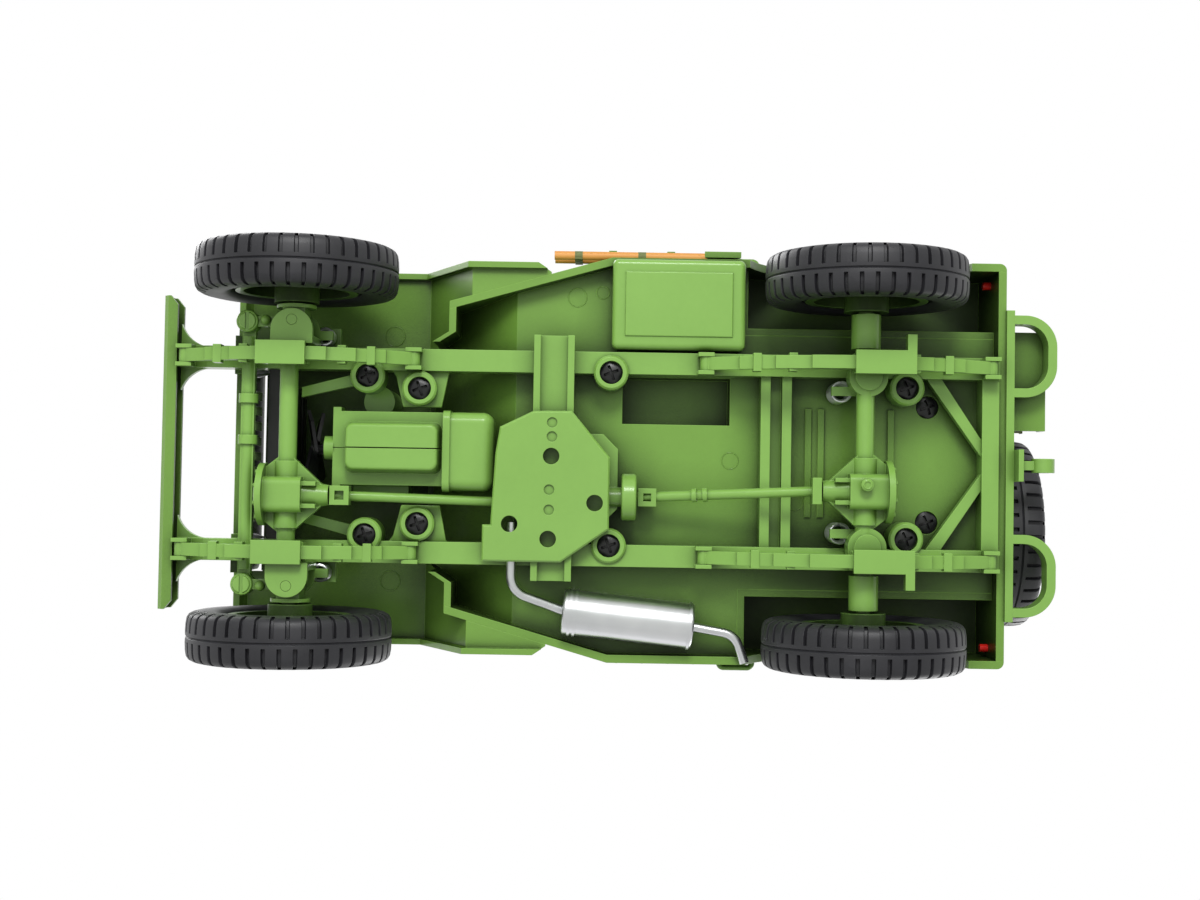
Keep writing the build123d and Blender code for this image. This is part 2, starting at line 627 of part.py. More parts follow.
def bell_housing():
    """Flared casing between crankcase and gearbox, with a raised rim in front."""
    y = (BELL_Y - 0.3, BELL_Y + BELL_RUN)
    bell = block(around(ENGINE_X - 0.4, 7.9), y, (RAIL_LOW - 2.2, RAIL_TOP - 0.2))
    bell = fillet(bell.faces().sort_by(Axis.Y)[-1].edges() + bell.edges().filter_by(Axis.Y), 2.2)
    rim = block(around(ENGINE_X - 0.4, 8.2), (BELL_Y - 0.5, BELL_Y + 0.9), (RAIL_LOW - 2.6, RAIL_TOP - 0.2))
    return bell + fillet(rim.edges().filter_by(Axis.Y), 2.0)


def engine():
    x = around(ENGINE_X, ENGINE_HALF)
    head_y = (ENGINE_FRONT_Y + 0.6, BULGE_Y - 2.0)
    motor = block(x, (ENGINE_FRONT_Y, BELL_Y), (RAIL_LOW, RAIL_TOP - 0.4))
    upper_y = (ENGINE_FRONT_Y, BULGE_Y - 1.6)
    motor += block(around(ENGINE_X, ENGINE_HALF - 0.8), upper_y, (RAIL_LOW, RAIL_TOP + 12))
    head = block(around(ENGINE_X, ENGINE_HALF - 0.2), head_y, (RAIL_TOP + 11.6, RAIL_TOP + 15.2))
    motor += fillet(head.edges().filter_by(Axis.Z), 1.0)
    front_plate = (ENGINE_FRONT_Y - 0.1, ENGINE_FRONT_Y + 1.5)
    motor += block(around(ENGINE_X, ENGINE_HALF + 0.8), front_plate, (RAIL_LOW, RAIL_TOP))
    motor += oil_pan() + bell_housing()
    seam_y = (ENGINE_FRONT_Y - 1, BELL_Y - 0.5)
    motor -= block(around(ENGINE_X, 0.12), seam_y, (RAIL_LOW - 5.0, RAIL_LOW + 0.3))
    port_y = (head_y[0] + 2.2, head_y[1] - 1.0)
    manifold = block((x[0] - 3.4, x[0] + 1.0), port_y, (RAIL_TOP + 4, RAIL_TOP + 9))
    motor += fillet(manifold.edges().filter_by(Axis.Y), 1.2)
    filter_x = x[1] + 2.6
    filter_y = ENGINE_FRONT_Y + 7.7
    motor += upright(3.2, filter_x, filter_y, (RAIL_TOP + 5, RAIL_TOP + 19))
    motor += block((x[1] - 1.8, filter_x), around(filter_y, 1.0), (RAIL_TOP + 7, RAIL_TOP + 9))
    pulley_z = RAIL_LOW + 2.1
    return motor + rod(2.4, (ENGINE_X, ENGINE_FRONT_Y - 1.9, pulley_z), (ENGINE_X, ENGINE_FRONT_Y, pulley_z))


def cooling_fan():
    hub_y = ENGINE_FRONT_Y - 6.7
    fan = rod(1.1, (ENGINE_X, hub_y, FAN_Z), (ENGINE_X, ENGINE_FRONT_Y - 0.1, FAN_Z))
    fan += rod(2.2, (ENGINE_X, hub_y, FAN_Z), (ENGINE_X, hub_y + 1.2, FAN_Z))
    blade = Pos(0, 0, 5.2) * Rot(0, 0, 20) * Box(3.6, 0.7, 8.8)
    for angle in (45, 135, 225, 315):
        fan += Pos(ENGINE_X, hub_y + 0.6, FAN_Z) * Rot(0, angle, 0) * blade
    return fan


def radiator():
    front = GRILLE_Y + 7.7
    core = block((-14.5, 14.5), (front, front + 3.0), (RAIL_TOP - 0.5, RAIL_TOP + 21))
    core += block((-RAIL_IN, RAIL_IN), (front, front + 3.0), (RAIL_TOP - 2.5, RAIL_TOP - 0.2))
    tank = block((-13.0, 13.0), (front - 0.5, front + 3.5), (RAIL_TOP + 18, RAIL_TOP + 21.6))
    return core + fillet(tank.edges().filter_by(Axis.X), 0.8)


def tub_x(y, inset):
    """Half width of the tub at a given Y, less an inset."""
    share = min(max((y - COWL_Y) / (FLARE_Y - COWL_Y), 0), 1)
    return COWL_HALF + (TUB_HALF - COWL_HALF) * share - inset


def muffler_place(share):
    """Point of the muffler's middle line at a share of the cabin's length, beside the tub's right side."""
    y = COWL_Y + share * CABIN
    return Vector(MUFFLER_R + 1.6 - tub_x(y, WALL), y, MUFFLER_Z)


def exhaust():
    down_y = COWL_Y + 0.228 * CABIN
    pipe_z = RAIL_LOW - 1.3
    start = muffler_place(0.403)
    end = muffler_place(0.844)
    along = end - start
    line = pipe(
        0.95, 4.5, (-13.0, down_y, pipe_z), (start.X + 3.9, down_y, pipe_z), tuple(start + along * 0.03))
    muffler = rod(MUFFLER_R, tuple(start), tuple(end))
    line += fillet(muffler.edges(), 0.6)
    line += pipe(
        0.95, 4.0, tuple(end - along * 0.06), (end.X - 1.5, HOUSE_Y - 0.9, MUFFLER_Z - 0.5),
        (0.6 - TUB_HALF, HOUSE_Y + 1.1, MUFFLER_Z - 0.5))
    for place in (0.05, 0.09, 0.96):
        ring = start + along * place
        line += rod(MUFFLER_R + 0.3, tuple(ring), tuple(ring + along * 0.018))
    middle = start + along * 0.5
    return line + block(around(middle.X, 1.3), around(middle.Y, 1.5), (RAIL_LOW + 2.5, RAIL_TOP))


def fuel_tank():
    x = (RAIL_OUT + 0.6, TUB_HALF - 2.0)
    y = (FLARE_Y, HOUSE_Y + 0.4)
    low = RAIL_LOW - 1.1
    tray_x = (x[0], TUB_HALF - 0.5)
    tray = block(tray_x, y, (low, SILL_Z - SEAT_GAP))
    tray = fillet(tray.edges().filter_by(Axis.Z) + tray.faces().sort_by(Axis.Z)[0].edges(), 1.2)
    rim = 2.6
    panel = block((x[0] + rim, tray_x[1] - rim), (y[0] + rim, y[1] - rim), (low - 0.3, low + 1.0))
    tray += fillet(panel.faces().sort_by(Axis.Z)[0].edges(), 0.25)
    return tray + block(x, (y[0] + 1, y[1] - 1), (low + 1.0, RAIL_TOP))


# Tub.
def firewall_line(shift):
    """Plan points of the firewall's left half, from the side to the bulge over the engine."""
    edge = tub_x(COWL_Y + shift, WALL)
    return [(edge, COWL_Y + shift), (BULGE_HALF + 3.5, COWL_Y + shift), (BULGE_HALF, BULGE_Y + shift)]


def firewall_plan(shift):
    left = firewall_line(shift)
    return left + mirrored(left)


def toe_profile(depth):
    """Side outline of the sloping toe board, from its upper face down by a depth."""
    foot_z = FLOOR_TOP
    return [
        (TOE_Y, foot_z), (BULGE_Y, TOE_TOP + WALL), (BULGE_Y, TOE_TOP + WALL - depth), (TOE_Y, foot_z - depth),
    ]


def toe_board():
    inner = [(tub_x(FLARE_Y, WALL), FLARE_Y), (tub_x(COWL_Y + PLATE, WALL), COWL_Y + PLATE)]
    left = inner + firewall_line(PLATE)[1:]
    room = plan_cut(left + mirrored(left), (RAIL_TOP, TOE_TOP + WALL))
    return side_cut(toe_profile(WALL), (-TUB_HALF, TUB_HALF)) & room


def floor_pan():
    tub_in = TUB_HALF - WALL
    left = [
        (HOUSE_X, TUB_REAR_Y - WALL), (HOUSE_X, HOUSE_Y), (tub_in, HOUSE_Y), (tub_in, FLARE_Y),
        (tub_x(TOE_Y, WALL), TOE_Y),
    ]
    floor = plan_cut(left + mirrored(left), (RAIL_TOP, FLOOR_TOP)) + toe_board()
    box_x, box_y = SEAT_BOX_X, SEAT_BOX_Y
    floor -= block((box_x[0] + 1, box_x[1] - 1), (box_y[0] + 1, box_y[1] - 1), (RAIL_TOP - 1, FLOOR_TOP + 1))
    for rib_y in (HOUSE_Y + 14.0, HOUSE_Y + 16.6, REAR_AXLE_Y + 7.0):
        floor += block((-11.0, 11.0), around(rib_y, 0.6), (RAIL_TOP - 0.5, FLOOR_TOP))
    screw_x, screw_y = FLOOR_SCREW
    for side in (-1, 1):
        floor -= upright(SCREW_R, side * screw_x, screw_y, (RAIL_TOP - 1, RAIL_TOP + 1.0))
    return floor


def tub_profile():
    """Side view of the body side: cut down for the door, with an arch over the rear wheel."""
    door_rear = DOOR_Y + DOOR_W / 2
    shape = Polygon(
        (COWL_Y, SILL_Z), (TUB_REAR_Y, SILL_Z), (TUB_REAR_Y, TUB_TOP), (FLARE_Y + 4.0, TUB_TOP),
        (FLARE_Y + 4.0, COWL_TOP), (COWL_Y, COWL_TOP), align=None)
    shape -= Pos(DOOR_Y, DOOR_LOW + DOOR_TALL / 2) * RectangleRounded(DOOR_W, DOOR_TALL, DOOR_BEND)
    shape -= Pos(door_rear - DOOR_BEND, COWL_TOP) * Rectangle(2 * DOOR_BEND, 2 * (COWL_TOP - TUB_TOP))
    return shape - Pos(REAR_AXLE_Y, TYRE_R) * Circle(TYRE_R + ARCH_REVEAL)


def body_side():
    strip = plan_cut([
        (COWL_HALF, COWL_Y), (TUB_HALF, FLARE_Y), (TUB_HALF, TUB_REAR_Y), (TUB_HALF - WALL, TUB_REAR_Y),
        (TUB_HALF - WALL, FLARE_Y), (COWL_HALF - WALL, COWL_Y),
    ], (SILL_Z, COWL_TOP))
    outer_rear = strip.edges().filter_by(Axis.Z).group_by(Axis.Y)[-1].sort_by(Axis.X)[-1]
    strip = fillet(outer_rear, 1.4)
    return strip & extrude(Plane.YZ * tub_profile(), TUB_HALF + 5)


def rear_panel():
    half = TUB_HALF - WALL
    panel = block((-half, half), (TUB_REAR_Y - WALL, TUB_REAR_Y), (SILL_Z, TUB_TOP))
    hole = rod(STUD_R + RUNNING, (TAIL_X, TUB_REAR_Y - 2 * WALL, TAIL_Z), (TAIL_X, TUB_REAR_Y + WALL, TAIL_Z))
    return panel - hole - other_side(hole)


def wheel_house():
    out = TUB_HALF - WALL
    rear = TUB_REAR_Y - WALL
    house = block((HOUSE_X, HOUSE_X + PLATE), (HOUSE_Y, rear), (RAIL_TOP, HOUSE_TOP))
    house += block((HOUSE_X, out), (HOUSE_Y, HOUSE_Y + PLATE), (RAIL_TOP, HOUSE_TOP))
    return house + block((HOUSE_X, out), (HOUSE_Y, rear), (HOUSE_TOP - PLATE, HOUSE_TOP))


def cowl_ear(side):
    """Bracket and pin that carry one foot of the windshield."""
    x = sorted((side * (SCREEN_HALF + SEAT_GAP), side * (SCREEN_HALF + 1.5)))
    ear = block(x, around(SCREEN_Y, 1.4), (COWL_TOP - 0.5, SCREEN_PIVOT_Z + 1.2))
    start = (side * (SCREEN_HALF - 1.6), SCREEN_Y, SCREEN_PIVOT_Z)
    return ear + rod(PIVOT_R, start, (side * (SCREEN_HALF + 1.0), SCREEN_Y, SCREEN_PIVOT_Z))


def cowl():
    wall = plan_cut(firewall_plan(0) + list(reversed(firewall_plan(PLATE))), (SILL_Z, FENDER_TOP))
    wall -= block(around(0, BULGE_HALF + PLATE), EVERYWHERE, (SILL_Z - 1, TOE_TOP + WALL))
    back = (tub_x(COWL_Y + PLATE, WALL), COWL_Y + PLATE)
    ledge = plan_cut(firewall_plan(0) + [(-back[0], back[1]), back], (FENDER_TOP - PLATE, FENDER_TOP))
    left = [(tub_x(DASH_Y, WALL), DASH_Y), (tub_x(COWL_Y, WALL), COWL_Y)]
    top = plan_cut(left + mirrored(left), (FENDER_TOP - PLATE, COWL_TOP))
    top -= block(EVERYWHERE, (COWL_Y + PLATE, DASH_Y - PLATE), (0, COWL_TOP - PLATE))
    top -= block(EVERYWHERE, (DASH_Y - 2 * PLATE, DASH_Y + 1), (0, DASH_LOW))
    return wall + ledge + top + cowl_ear(-1) + cowl_ear(1)


# Front sheet metal.
def fender_outline(depth):
    """Side outline of a fender and its step, from the upper face down by a depth."""
    nose_y = GRILLE_Y - 2.2
    slope_y = BULGE_Y + 0.5
    foot_y = COWL_Y + 5.4
    end_y = COWL_Y + STEP_RUN
    upper = [
        (nose_y, FENDER_TOP - 3.6), (nose_y + 0.8, FENDER_TOP - 1.2), (nose_y + 2.0, FENDER_TOP),
        (slope_y, FENDER_TOP), (foot_y, STEP_TOP), (end_y, STEP_TOP),
    ]
    lower = [
        (end_y, STEP_TOP - depth), (foot_y - 0.57 * depth, STEP_TOP - depth),
        (slope_y - 0.57 * depth, FENDER_TOP - depth), (nose_y + 2.0 + 0.4 * depth, FENDER_TOP - depth),
        (nose_y + 0.8 + 0.86 * depth, FENDER_TOP - 1.2 - 0.71 * depth),
        (nose_y + 0.93 * depth, FENDER_TOP - 3.6),
    ]
    return upper + lower


def fender():
    band = side_cut(fender_outline(PLATE), (FENDER_IN, FENDER_OUT))
    band += side_cut(fender_outline(2 * PLATE), (FENDER_OUT - FENDER_LIP, FENDER_OUT))
    nose_y = GRILLE_Y - 2.2
    end_y = COWL_Y + STEP_RUN
    band -= plan_cut([
        (FENDER_OUT + 1, nose_y - 1), (FENDER_OUT - 1.6, nose_y - 1), (FENDER_OUT, nose_y + 2.4),
        (FENDER_OUT + 1, nose_y + 2.4),
    ], EVERYWHERE)
    band -= plan_cut([
        (FENDER_OUT + 1, end_y - 2.6), (FENDER_OUT, end_y - 2.6), (FENDER_OUT - 2.0, end_y + 0.4),
        (FENDER_OUT + 1, end_y + 0.4),
    ], EVERYWHERE)
    band -= block((0, GRILLE_HALF + SEAT_GAP), (nose_y - 5, GRILLE_Y + PLATE + 2.0), EVERYWHERE)
    tub = [
        (COWL_HALF, COWL_Y), (TUB_HALF, FLARE_Y), (0, FLARE_Y), (0, BULGE_Y), (BULGE_HALF, BULGE_Y),
        (BULGE_HALF + 3.5, COWL_Y),
    ]
    return band - plan_cut(tub, EVERYWHERE)


def nose_outline(half, top, low, corner):
    """Front view of hood and grille: flat top, rounded upper corners, straight sides."""
    shape = Pos(0, (top + low - corner) / 2) * RectangleRounded(2 * half, top - low + corner, corner)
    return shape & Pos(0, (top + low) / 2) * Rectangle(2 * half, top - low)


def grille():
    outline = nose_outline(GRILLE_HALF, NOSE_TOP, GRILLE_LOW, 4.0)
    panel = extrude(Plane.XZ.offset(-GRILLE_Y) * outline, -PLATE)
    through = around(GRILLE_Y, 2 * PLATE)
    panel -= block((-16.4, 16.4), through, (GRILLE_LOW - 1, GRILLE_LOW + 2.0))
    for slot in range(-4, 5):
        panel -= block(around(slot * SLOT_PITCH, SLOT_HALF), through, (RAIL_TOP + 6.2, NOSE_TOP - 2.6))
    for side in (-1, 1):
        for radius, z in ((LAMP_R, LAMP_Z), (MARKER_R, MARKER_Z)):
            panel -= rod(radius + SEAT_GAP, (side * LAMP_X, through[0], z), (side * LAMP_X, through[1], z))
        panel += block(around(side * RAIL_X, 2.2), (GRILLE_Y, GRILLE_Y + 4.0), (RAIL_TOP, GRILLE_LOW + 1.0))
    return panel


def headlamp():
    back = GRILLE_Y + PLATE
    bowl = rod(LAMP_R + 0.6, (LAMP_X, back, LAMP_Z), (LAMP_X, back + 0.8, LAMP_Z))
    return bowl + cone(LAMP_R - 0.2, LAMP_R - 1.6, (LAMP_X, back, LAMP_Z), (LAMP_X, back + 4.6, LAMP_Z))


def lamp_lenses():
    back = GRILLE_Y + PLATE
    lens = rod(LAMP_R, (LAMP_X, back - PLATE - 0.5, LAMP_Z), (LAMP_X, back, LAMP_Z))
    lens = fillet(lens.edges().sort_by(Axis.Y)[0], 0.45)
    marker = rod(MARKER_R, (LAMP_X, back - PLATE - 0.4, MARKER_Z), (LAMP_X, back + 0.6, MARKER_Z))
    marker += rod(MARKER_R + 0.6, (LAMP_X, back, MARKER_Z), (LAMP_X, back + 0.6, MARKER_Z))
    return gather(pair(lens), pair(marker))


def tail_lamp():
    lamp = rod(TAIL_R, (TAIL_X, TUB_REAR_Y, TAIL_Z), (TAIL_X, TUB_REAR_Y + 1.4, TAIL_Z))
    return lamp + rod(STUD_R, (TAIL_X, TUB_REAR_Y - 2 * WALL, TAIL_Z), (TAIL_X, TUB_REAR_Y, TAIL_Z))


def hood():
    front_y = GRILLE_Y + PLATE + 0.5
    rear_half = COWL_HALF - 1.0
    low = FENDER_TOP + 0.2
    outer = loft([
        Plane.XZ.offset(-front_y) * nose_outline(GRILLE_HALF, NOSE_TOP, low, 4.0),
        Plane.XZ.offset(-HOOD_REAR_Y) * nose_outline(rear_half, COWL_TOP, low, 4.0),
    ])
    inner = loft([
        Plane.XZ.offset(-front_y + 1) * nose_outline(GRILLE_HALF - PLATE, NOSE_TOP - PLATE, low - 1, 2.6),
        Plane.XZ.offset(-HOOD_REAR_Y - 1) * nose_outline(rear_half - PLATE, COWL_TOP - PLATE, low - 1, 2.6),
    ])
    nose_cut = side_cut([
        (front_y - 1, low - 1), (front_y + 1.1, low - 1),
        (front_y - 0.1, NOSE_TOP + 1), (front_y - 1, NOSE_TOP + 1),
    ], EVERYWHERE)
    return outer - inner - nose_cut


# Windshield.
def windshield_frame():
    y = around(SCREEN_Y, SCREEN_T)
    frame = block(around(0, SCREEN_HALF), y, (SCREEN_PIVOT_Z, SCREEN_TOP))
    frame += rod(SCREEN_T, (-SCREEN_HALF, SCREEN_Y, SCREEN_PIVOT_Z), (SCREEN_HALF, SCREEN_Y, SCREEN_PIVOT_Z))
    frame = fillet(frame.edges().filter_by(Axis.Y).group_by(Axis.Z)[-1], 3.0)
    for side in (-1, 1):
        pane = sorted((side * PANE_IN, side * PANE_OUT))
        frame -= block(pane, around(SCREEN_Y, 2.0), (PANE_LOW, PANE_TOP))
        start = (side * (SCREEN_HALF - 2), SCREEN_Y, SCREEN_PIVOT_Z)
        frame -= rod(PIVOT_R + RUNNING, start, (side * (SCREEN_HALF + 1), SCREEN_Y, SCREEN_PIVOT_Z))
    return frame


def windshield_glass():
    return pair(block((PANE_IN, PANE_OUT), around(SCREEN_Y, 0.3), (PANE_LOW, PANE_TOP)))


# Cabin.
def seat_back(x, y):
    """Padded back that leans to the rear from a given Y."""
    back = side_cut([
        (y, CUSHION_LOW + 2), (y + 2.7, CUSHION_LOW + 2), (y + 6.3, BACK_TOP), (y + 3.6, BACK_TOP),
    ], x)
    return fillet(back.edges(), 1.0)


def front_seat():
    base = block(SEAT_BOX_X, SEAT_BOX_Y, (FLOOR_TOP, CUSHION_LOW))
    room_x = (SEAT_BOX_X[0] + 1, SEAT_BOX_X[1] - 1)
    room_y = (SEAT_BOX_Y[0] + 1, SEAT_BOX_Y[1] - 1)
    base -= block(room_x, room_y, (FLOOR_TOP - 1, CUSHION_LOW - 1))
    base += block((SEAT_X[1] - 4.6, SEAT_X[1] - 1.6), (FLARE_Y + 2, FLARE_Y + 19), (FLOOR_TOP, CUSHION_LOW))
    cushion = fillet(block(SEAT_X, (FLARE_Y, FLARE_Y + 19.5), (CUSHION_LOW, CUSHION_TOP)).edges(), 1.2)
    return base + cushion + seat_back(SEAT_X, FLARE_Y + 18.0)


def rear_seat():
    x = around(0, HOUSE_X - 1.4)
    base = block(around(0, HOUSE_X - 3.4), around(REAR_AXLE_Y + 8.1, 7.5), (FLOOR_TOP, CUSHION_LOW))
    cushion = fillet(block(x, around(REAR_AXLE_Y + 8.1, 9.5), (CUSHION_LOW, CUSHION_TOP)).edges(), 1.2)
    return base + cushion + seat_back(x, REAR_AXLE_Y + 16.2)


def steering_wheel():
    x = 18.4
    hub = (x, COWL_Y + 26.0, COWL_TOP + 2.0)
    foot = (x, COWL_Y - 2.0, RAIL_TOP + 7.6)
    lean = Plane(origin=hub, z_dir=Vector(*hub) - Vector(*foot), x_dir=(1, 0, 0))
    ring = Torus(11.4, 0.8) + Pos(0, 0, -0.6) * Cylinder(1.9, 1.8)
    for angle in (90, 210, 330):
        ring += Rot(0, 0, angle) * Pos(5.8, 0, 0) * Box(11.0, 1.3, 0.9)
    column = rod(1.0, foot, hub) - side_cut(toe_profile(30.0), (0, TUB_HALF))
    return lean * ring + column.solids().sort_by(Axis.Z)[-1]


# Load and fittings outside.
def turned_back(shape):
    """A wheel shape stood at the spare's place, outer face to the rear."""
    return Pos(SPARE_X, SPARE_Y, SPARE_Z) * Rot(0, 0, 90) * shape


def jerry_can():
    can = fillet(block(CAN_X, CAN_Y, CAN_Z).edges(), 1.4)
    middle = (CAN_Y[0] + CAN_Y[1]) / 2
    can += upright(1.5, CAN_X[0] + 3.5, middle, (CAN_Z[1] - 1, CAN_Z[1] + 2))
    for y in (middle - 2, middle, middle + 2):
        can += pipe(
            0.55, 1.2, (CAN_X[0] + 6.7, y, CAN_Z[1] - 0.6), (CAN_X[0] + 6.7, y, CAN_Z[1] + 2.6),
            (CAN_X[1] - 2.5, y, CAN_Z[1] + 2.6), (CAN_X[1] - 2.5, y, CAN_Z[1] - 0.6))
    return can


def rear_carriers():
    x = (CAN_X[0] - 0.7, CAN_X[1] + 0.7)
    back = CAN_Y[1] + 1.0
    rack = block(x, (TUB_REAR_Y, back), (CAN_Z[0] - 1.2, CAN_Z[0]))
    rack += block(x, (back - 0.8, back), (CAN_Z[0] - 1.2, CAN_Z[0] + 2.6))
    y = (TUB_REAR_Y, TUB_REAR_Y + 1.2)
    spare = rod(4.0, (SPARE_X, y[0], SPARE_Z - 6), (SPARE_X, y[1], SPARE_Z - 6))
    spare &= block(EVERYWHERE, EVERYWHERE, (0, TUB_TOP))
    spare += block(around(SPARE_X, 3), y, (SPARE_Z - 6, SPARE_Z + 3))
    spare += rod(SPINDLE_R, (SPARE_X, y[0], SPARE_Z), (SPARE_X, SPARE_Y + 3.0, SPARE_Z))
    return gather(rack, spare)


def tool_handles():
    axe = rod(HANDLE_R, (TOOL_X, TOOL_FRONT_Y, AXE_Z), (TOOL_X, TOOL_FRONT_Y + 31.6, AXE_Z))
    shovel = rod(HANDLE_R, (TOOL_X, TOOL_FRONT_Y, SHOVEL_Z), (TOOL_X, TOOL_FRONT_Y + 26.6, SHOVEL_Z))
    return gather(axe, shovel)


def tool_heads():
    y = TOOL_FRONT_Y + 31.6
    axe = block(around(TOOL_X, HANDLE_R), (y, y + 5.4), around(AXE_Z, 1.5))
    axe += side_cut([
        (y + 0.4, AXE_Z), (y + 5.0, AXE_Z), (y + 6.4, AXE_Z - 4.6), (y - 1.0, AXE_Z - 4.6),
    ], around(TOOL_X, 0.6))
    y = TOOL_FRONT_Y + 26.6
    blade = side_cut([
        (y + 1.8, SHOVEL_Z - 1.0), (y + 3.0, SHOVEL_Z - 2.6), (y + 11.4, SHOVEL_Z - 2.4),
        (y + 13.8, SHOVEL_Z + 1.4), (y + 11.4, SHOVEL_Z + 5.2), (y + 3.0, SHOVEL_Z + 5.4),
        (y + 1.8, SHOVEL_Z + 1.0),
    ], around(TOOL_X, 0.5))
    blade += rod(HANDLE_R, (TOOL_X, y, SHOVEL_Z), (TOOL_X, y + 3.8, SHOVEL_Z))
    return gather(axe, blade)


# Grab handles on both sides: first and last station, and height above the tub floor.
GRABS = ((FLARE_Y + 24.0, FLARE_Y + 31.0, 13.4), (REAR_AXLE_Y + 15.6, REAR_AXLE_Y + 23.6, 14.4))
CLIP_YS = (FLARE_Y, FLARE_Y + 12.0)


def side_fittings():
    out = TUB_HALF + 2.4
    handles = []
    for start, end, lift in GRABS:
        z = FLOOR_TOP + lift
        handles.append(pipe(0.6, 1.0, (TUB_HALF, start, z), (out, start, z), (out, end, z), (TUB_HALF, end, z)))
    clips = []
    for y in CLIP_YS:
        clips.append(block((TUB_HALF, TUB_HALF + 2.2), around(y, 0.8), (AXE_Z + HANDLE_R, SHOVEL_Z - HANDLE_R)))
    return gather(pair(gather(*handles)), *clips)


# Steering pieces.
def knuckle():
    flange_x = TRACK_HALF - 7.4
    play = PLATE + SEAT_GAP
    piece = upright(2.4, KING_X, FRONT_AXLE_Y, (YOKE_LOW + play, YOKE_TOP - play))
    piece += upright(KINGPIN_R, KING_X, FRONT_AXLE_Y, (YOKE_LOW, YOKE_TOP))
    piece += block((KING_X, flange_x + 0.4), around(FRONT_AXLE_Y, 2.2), around(TYRE_R, 3.0))
    piece += rod(3.9, (flange_x, FRONT_AXLE_Y, TYRE_R), (flange_x + 0.7, FRONT_AXLE_Y, TYRE_R))
    piece += rod(SPINDLE_R, (flange_x, FRONT_AXLE_Y, TYRE_R), (TRACK_HALF + 3.0, FRONT_AXLE_Y, TYRE_R))
    piece += block(around(KING_X, 1.0), (ARM_Y, FRONT_AXLE_Y), (ROD_Z - 2.5, ROD_Z - 1.1))
    knob = upright(2.2, KING_X, ARM_Y, (ROD_Z - 3.1, ROD_Z - 1.1))
    piece += fillet(knob.edges().sort_by(Axis.Z)[0], 0.4)
    return piece + upright(KINGPIN_R, KING_X, ARM_Y, (ROD_Z - 2, ROD_Z + 1.6))


def tie_rod():
    z = around(ROD_Z, 0.8)
    link = rod(1.3, (2.9 - KING_X, ARM_Y, ROD_Z), (KING_X - 2.9, ARM_Y, ROD_Z))
    link += block(around(0, KING_X), around(ARM_Y, 1.3), z)
    for side in (-1, 1):
        link += upright(2.2, side * KING_X, ARM_Y, z)
    for side in (-1, 1):
        link -= upright(KINGPIN_R + RUNNING, side * KING_X, ARM_Y, EVERYWHERE)
    for x in (2.6, 10.8):
        link += rod(1.9, (x - 0.9, ARM_Y, ROD_Z), (x + 0.9, ARM_Y, ROD_Z))
    return link


road_tyre = tyre()
road_wheel = wheel(True)

nodes = {
    "frame_rails": pair(frame_rail()),
    "rear_crossmembers": rear_crossmembers(),
    "rear_braces": pair(rear_brace()),
    "gearbox_crossmember": gearbox_crossmember(),
    "skid_plate": skid_plate(),
    "front_bumper": front_bumper(),
    "rear_bumperettes": pair(bumperette()),
    "pintle_hook": pintle_hook(),
    "leaf_springs": leaf_springs(),
    "coil_springs": coil_springs(),
    "front_axle": front_axle(),
    "rear_axle": rear_axle(),
    "drive_shafts": drive_shafts(),
    "transfer_case": transfer_case(),
    "engine": engine(),
    "cooling_fan": cooling_fan(),
    "radiator": radiator(),
    "exhaust": exhaust(),
    "fuel_tank": fuel_tank(),
    "floor_pan": floor_pan(),
    "body_sides": pair(body_side()),
    "rear_panel": rear_panel(),
    "wheel_houses": pair(wheel_house()),
    "cowl": cowl(),
    "fenders": pair(fender()),
    "grille": grille(),
    "headlamps": pair(headlamp()),
    "lamp_lenses": lamp_lenses(),
    "tail_lamps": pair(tail_lamp()),
    "front_seats": pair(front_seat()),
    "rear_seat": rear_seat(),
    "steering_wheel": steering_wheel(),
    "spare_tyre": turned_back(road_tyre),
    "spare_wheel": turned_back(wheel(False)),
    "rear_carriers": rear_carriers(),
    "jerry_can": jerry_can(),
    "tool_handles": tool_handles(),
    "tool_heads": tool_heads(),
    "side_fittings": side_fittings(),
    "hood": hood(),
    "windshield_frame": windshield_frame(),
    "windshield_glass": windshield_glass(),
    "knuckle_left": knuckle(),
    "knuckle_right": other_side(knuckle()),
    "tie_rod": tie_rod(),
}
for corner, left, axle_y in (
    ("front_left", True, FRONT_AXLE_Y),
    ("front_right", False, FRONT_AXLE_Y),
    ("rear_left", True, REAR_AXLE_Y),
    ("rear_right", False, REAR_AXLE_Y),
):
    nodes["tyre_" + corner] = at_corner(road_tyre, left, axle_y)
    nodes["wheel_" + corner] = at_corner(road_wheel, left, axle_y)

os.makedirs("parts", exist_ok=True)
for name, shape in nodes.items():
    export_step(shape, "parts/" + name + ".step")
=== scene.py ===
import math

import bmesh
import bpy
from mathutils import Matrix, Vector


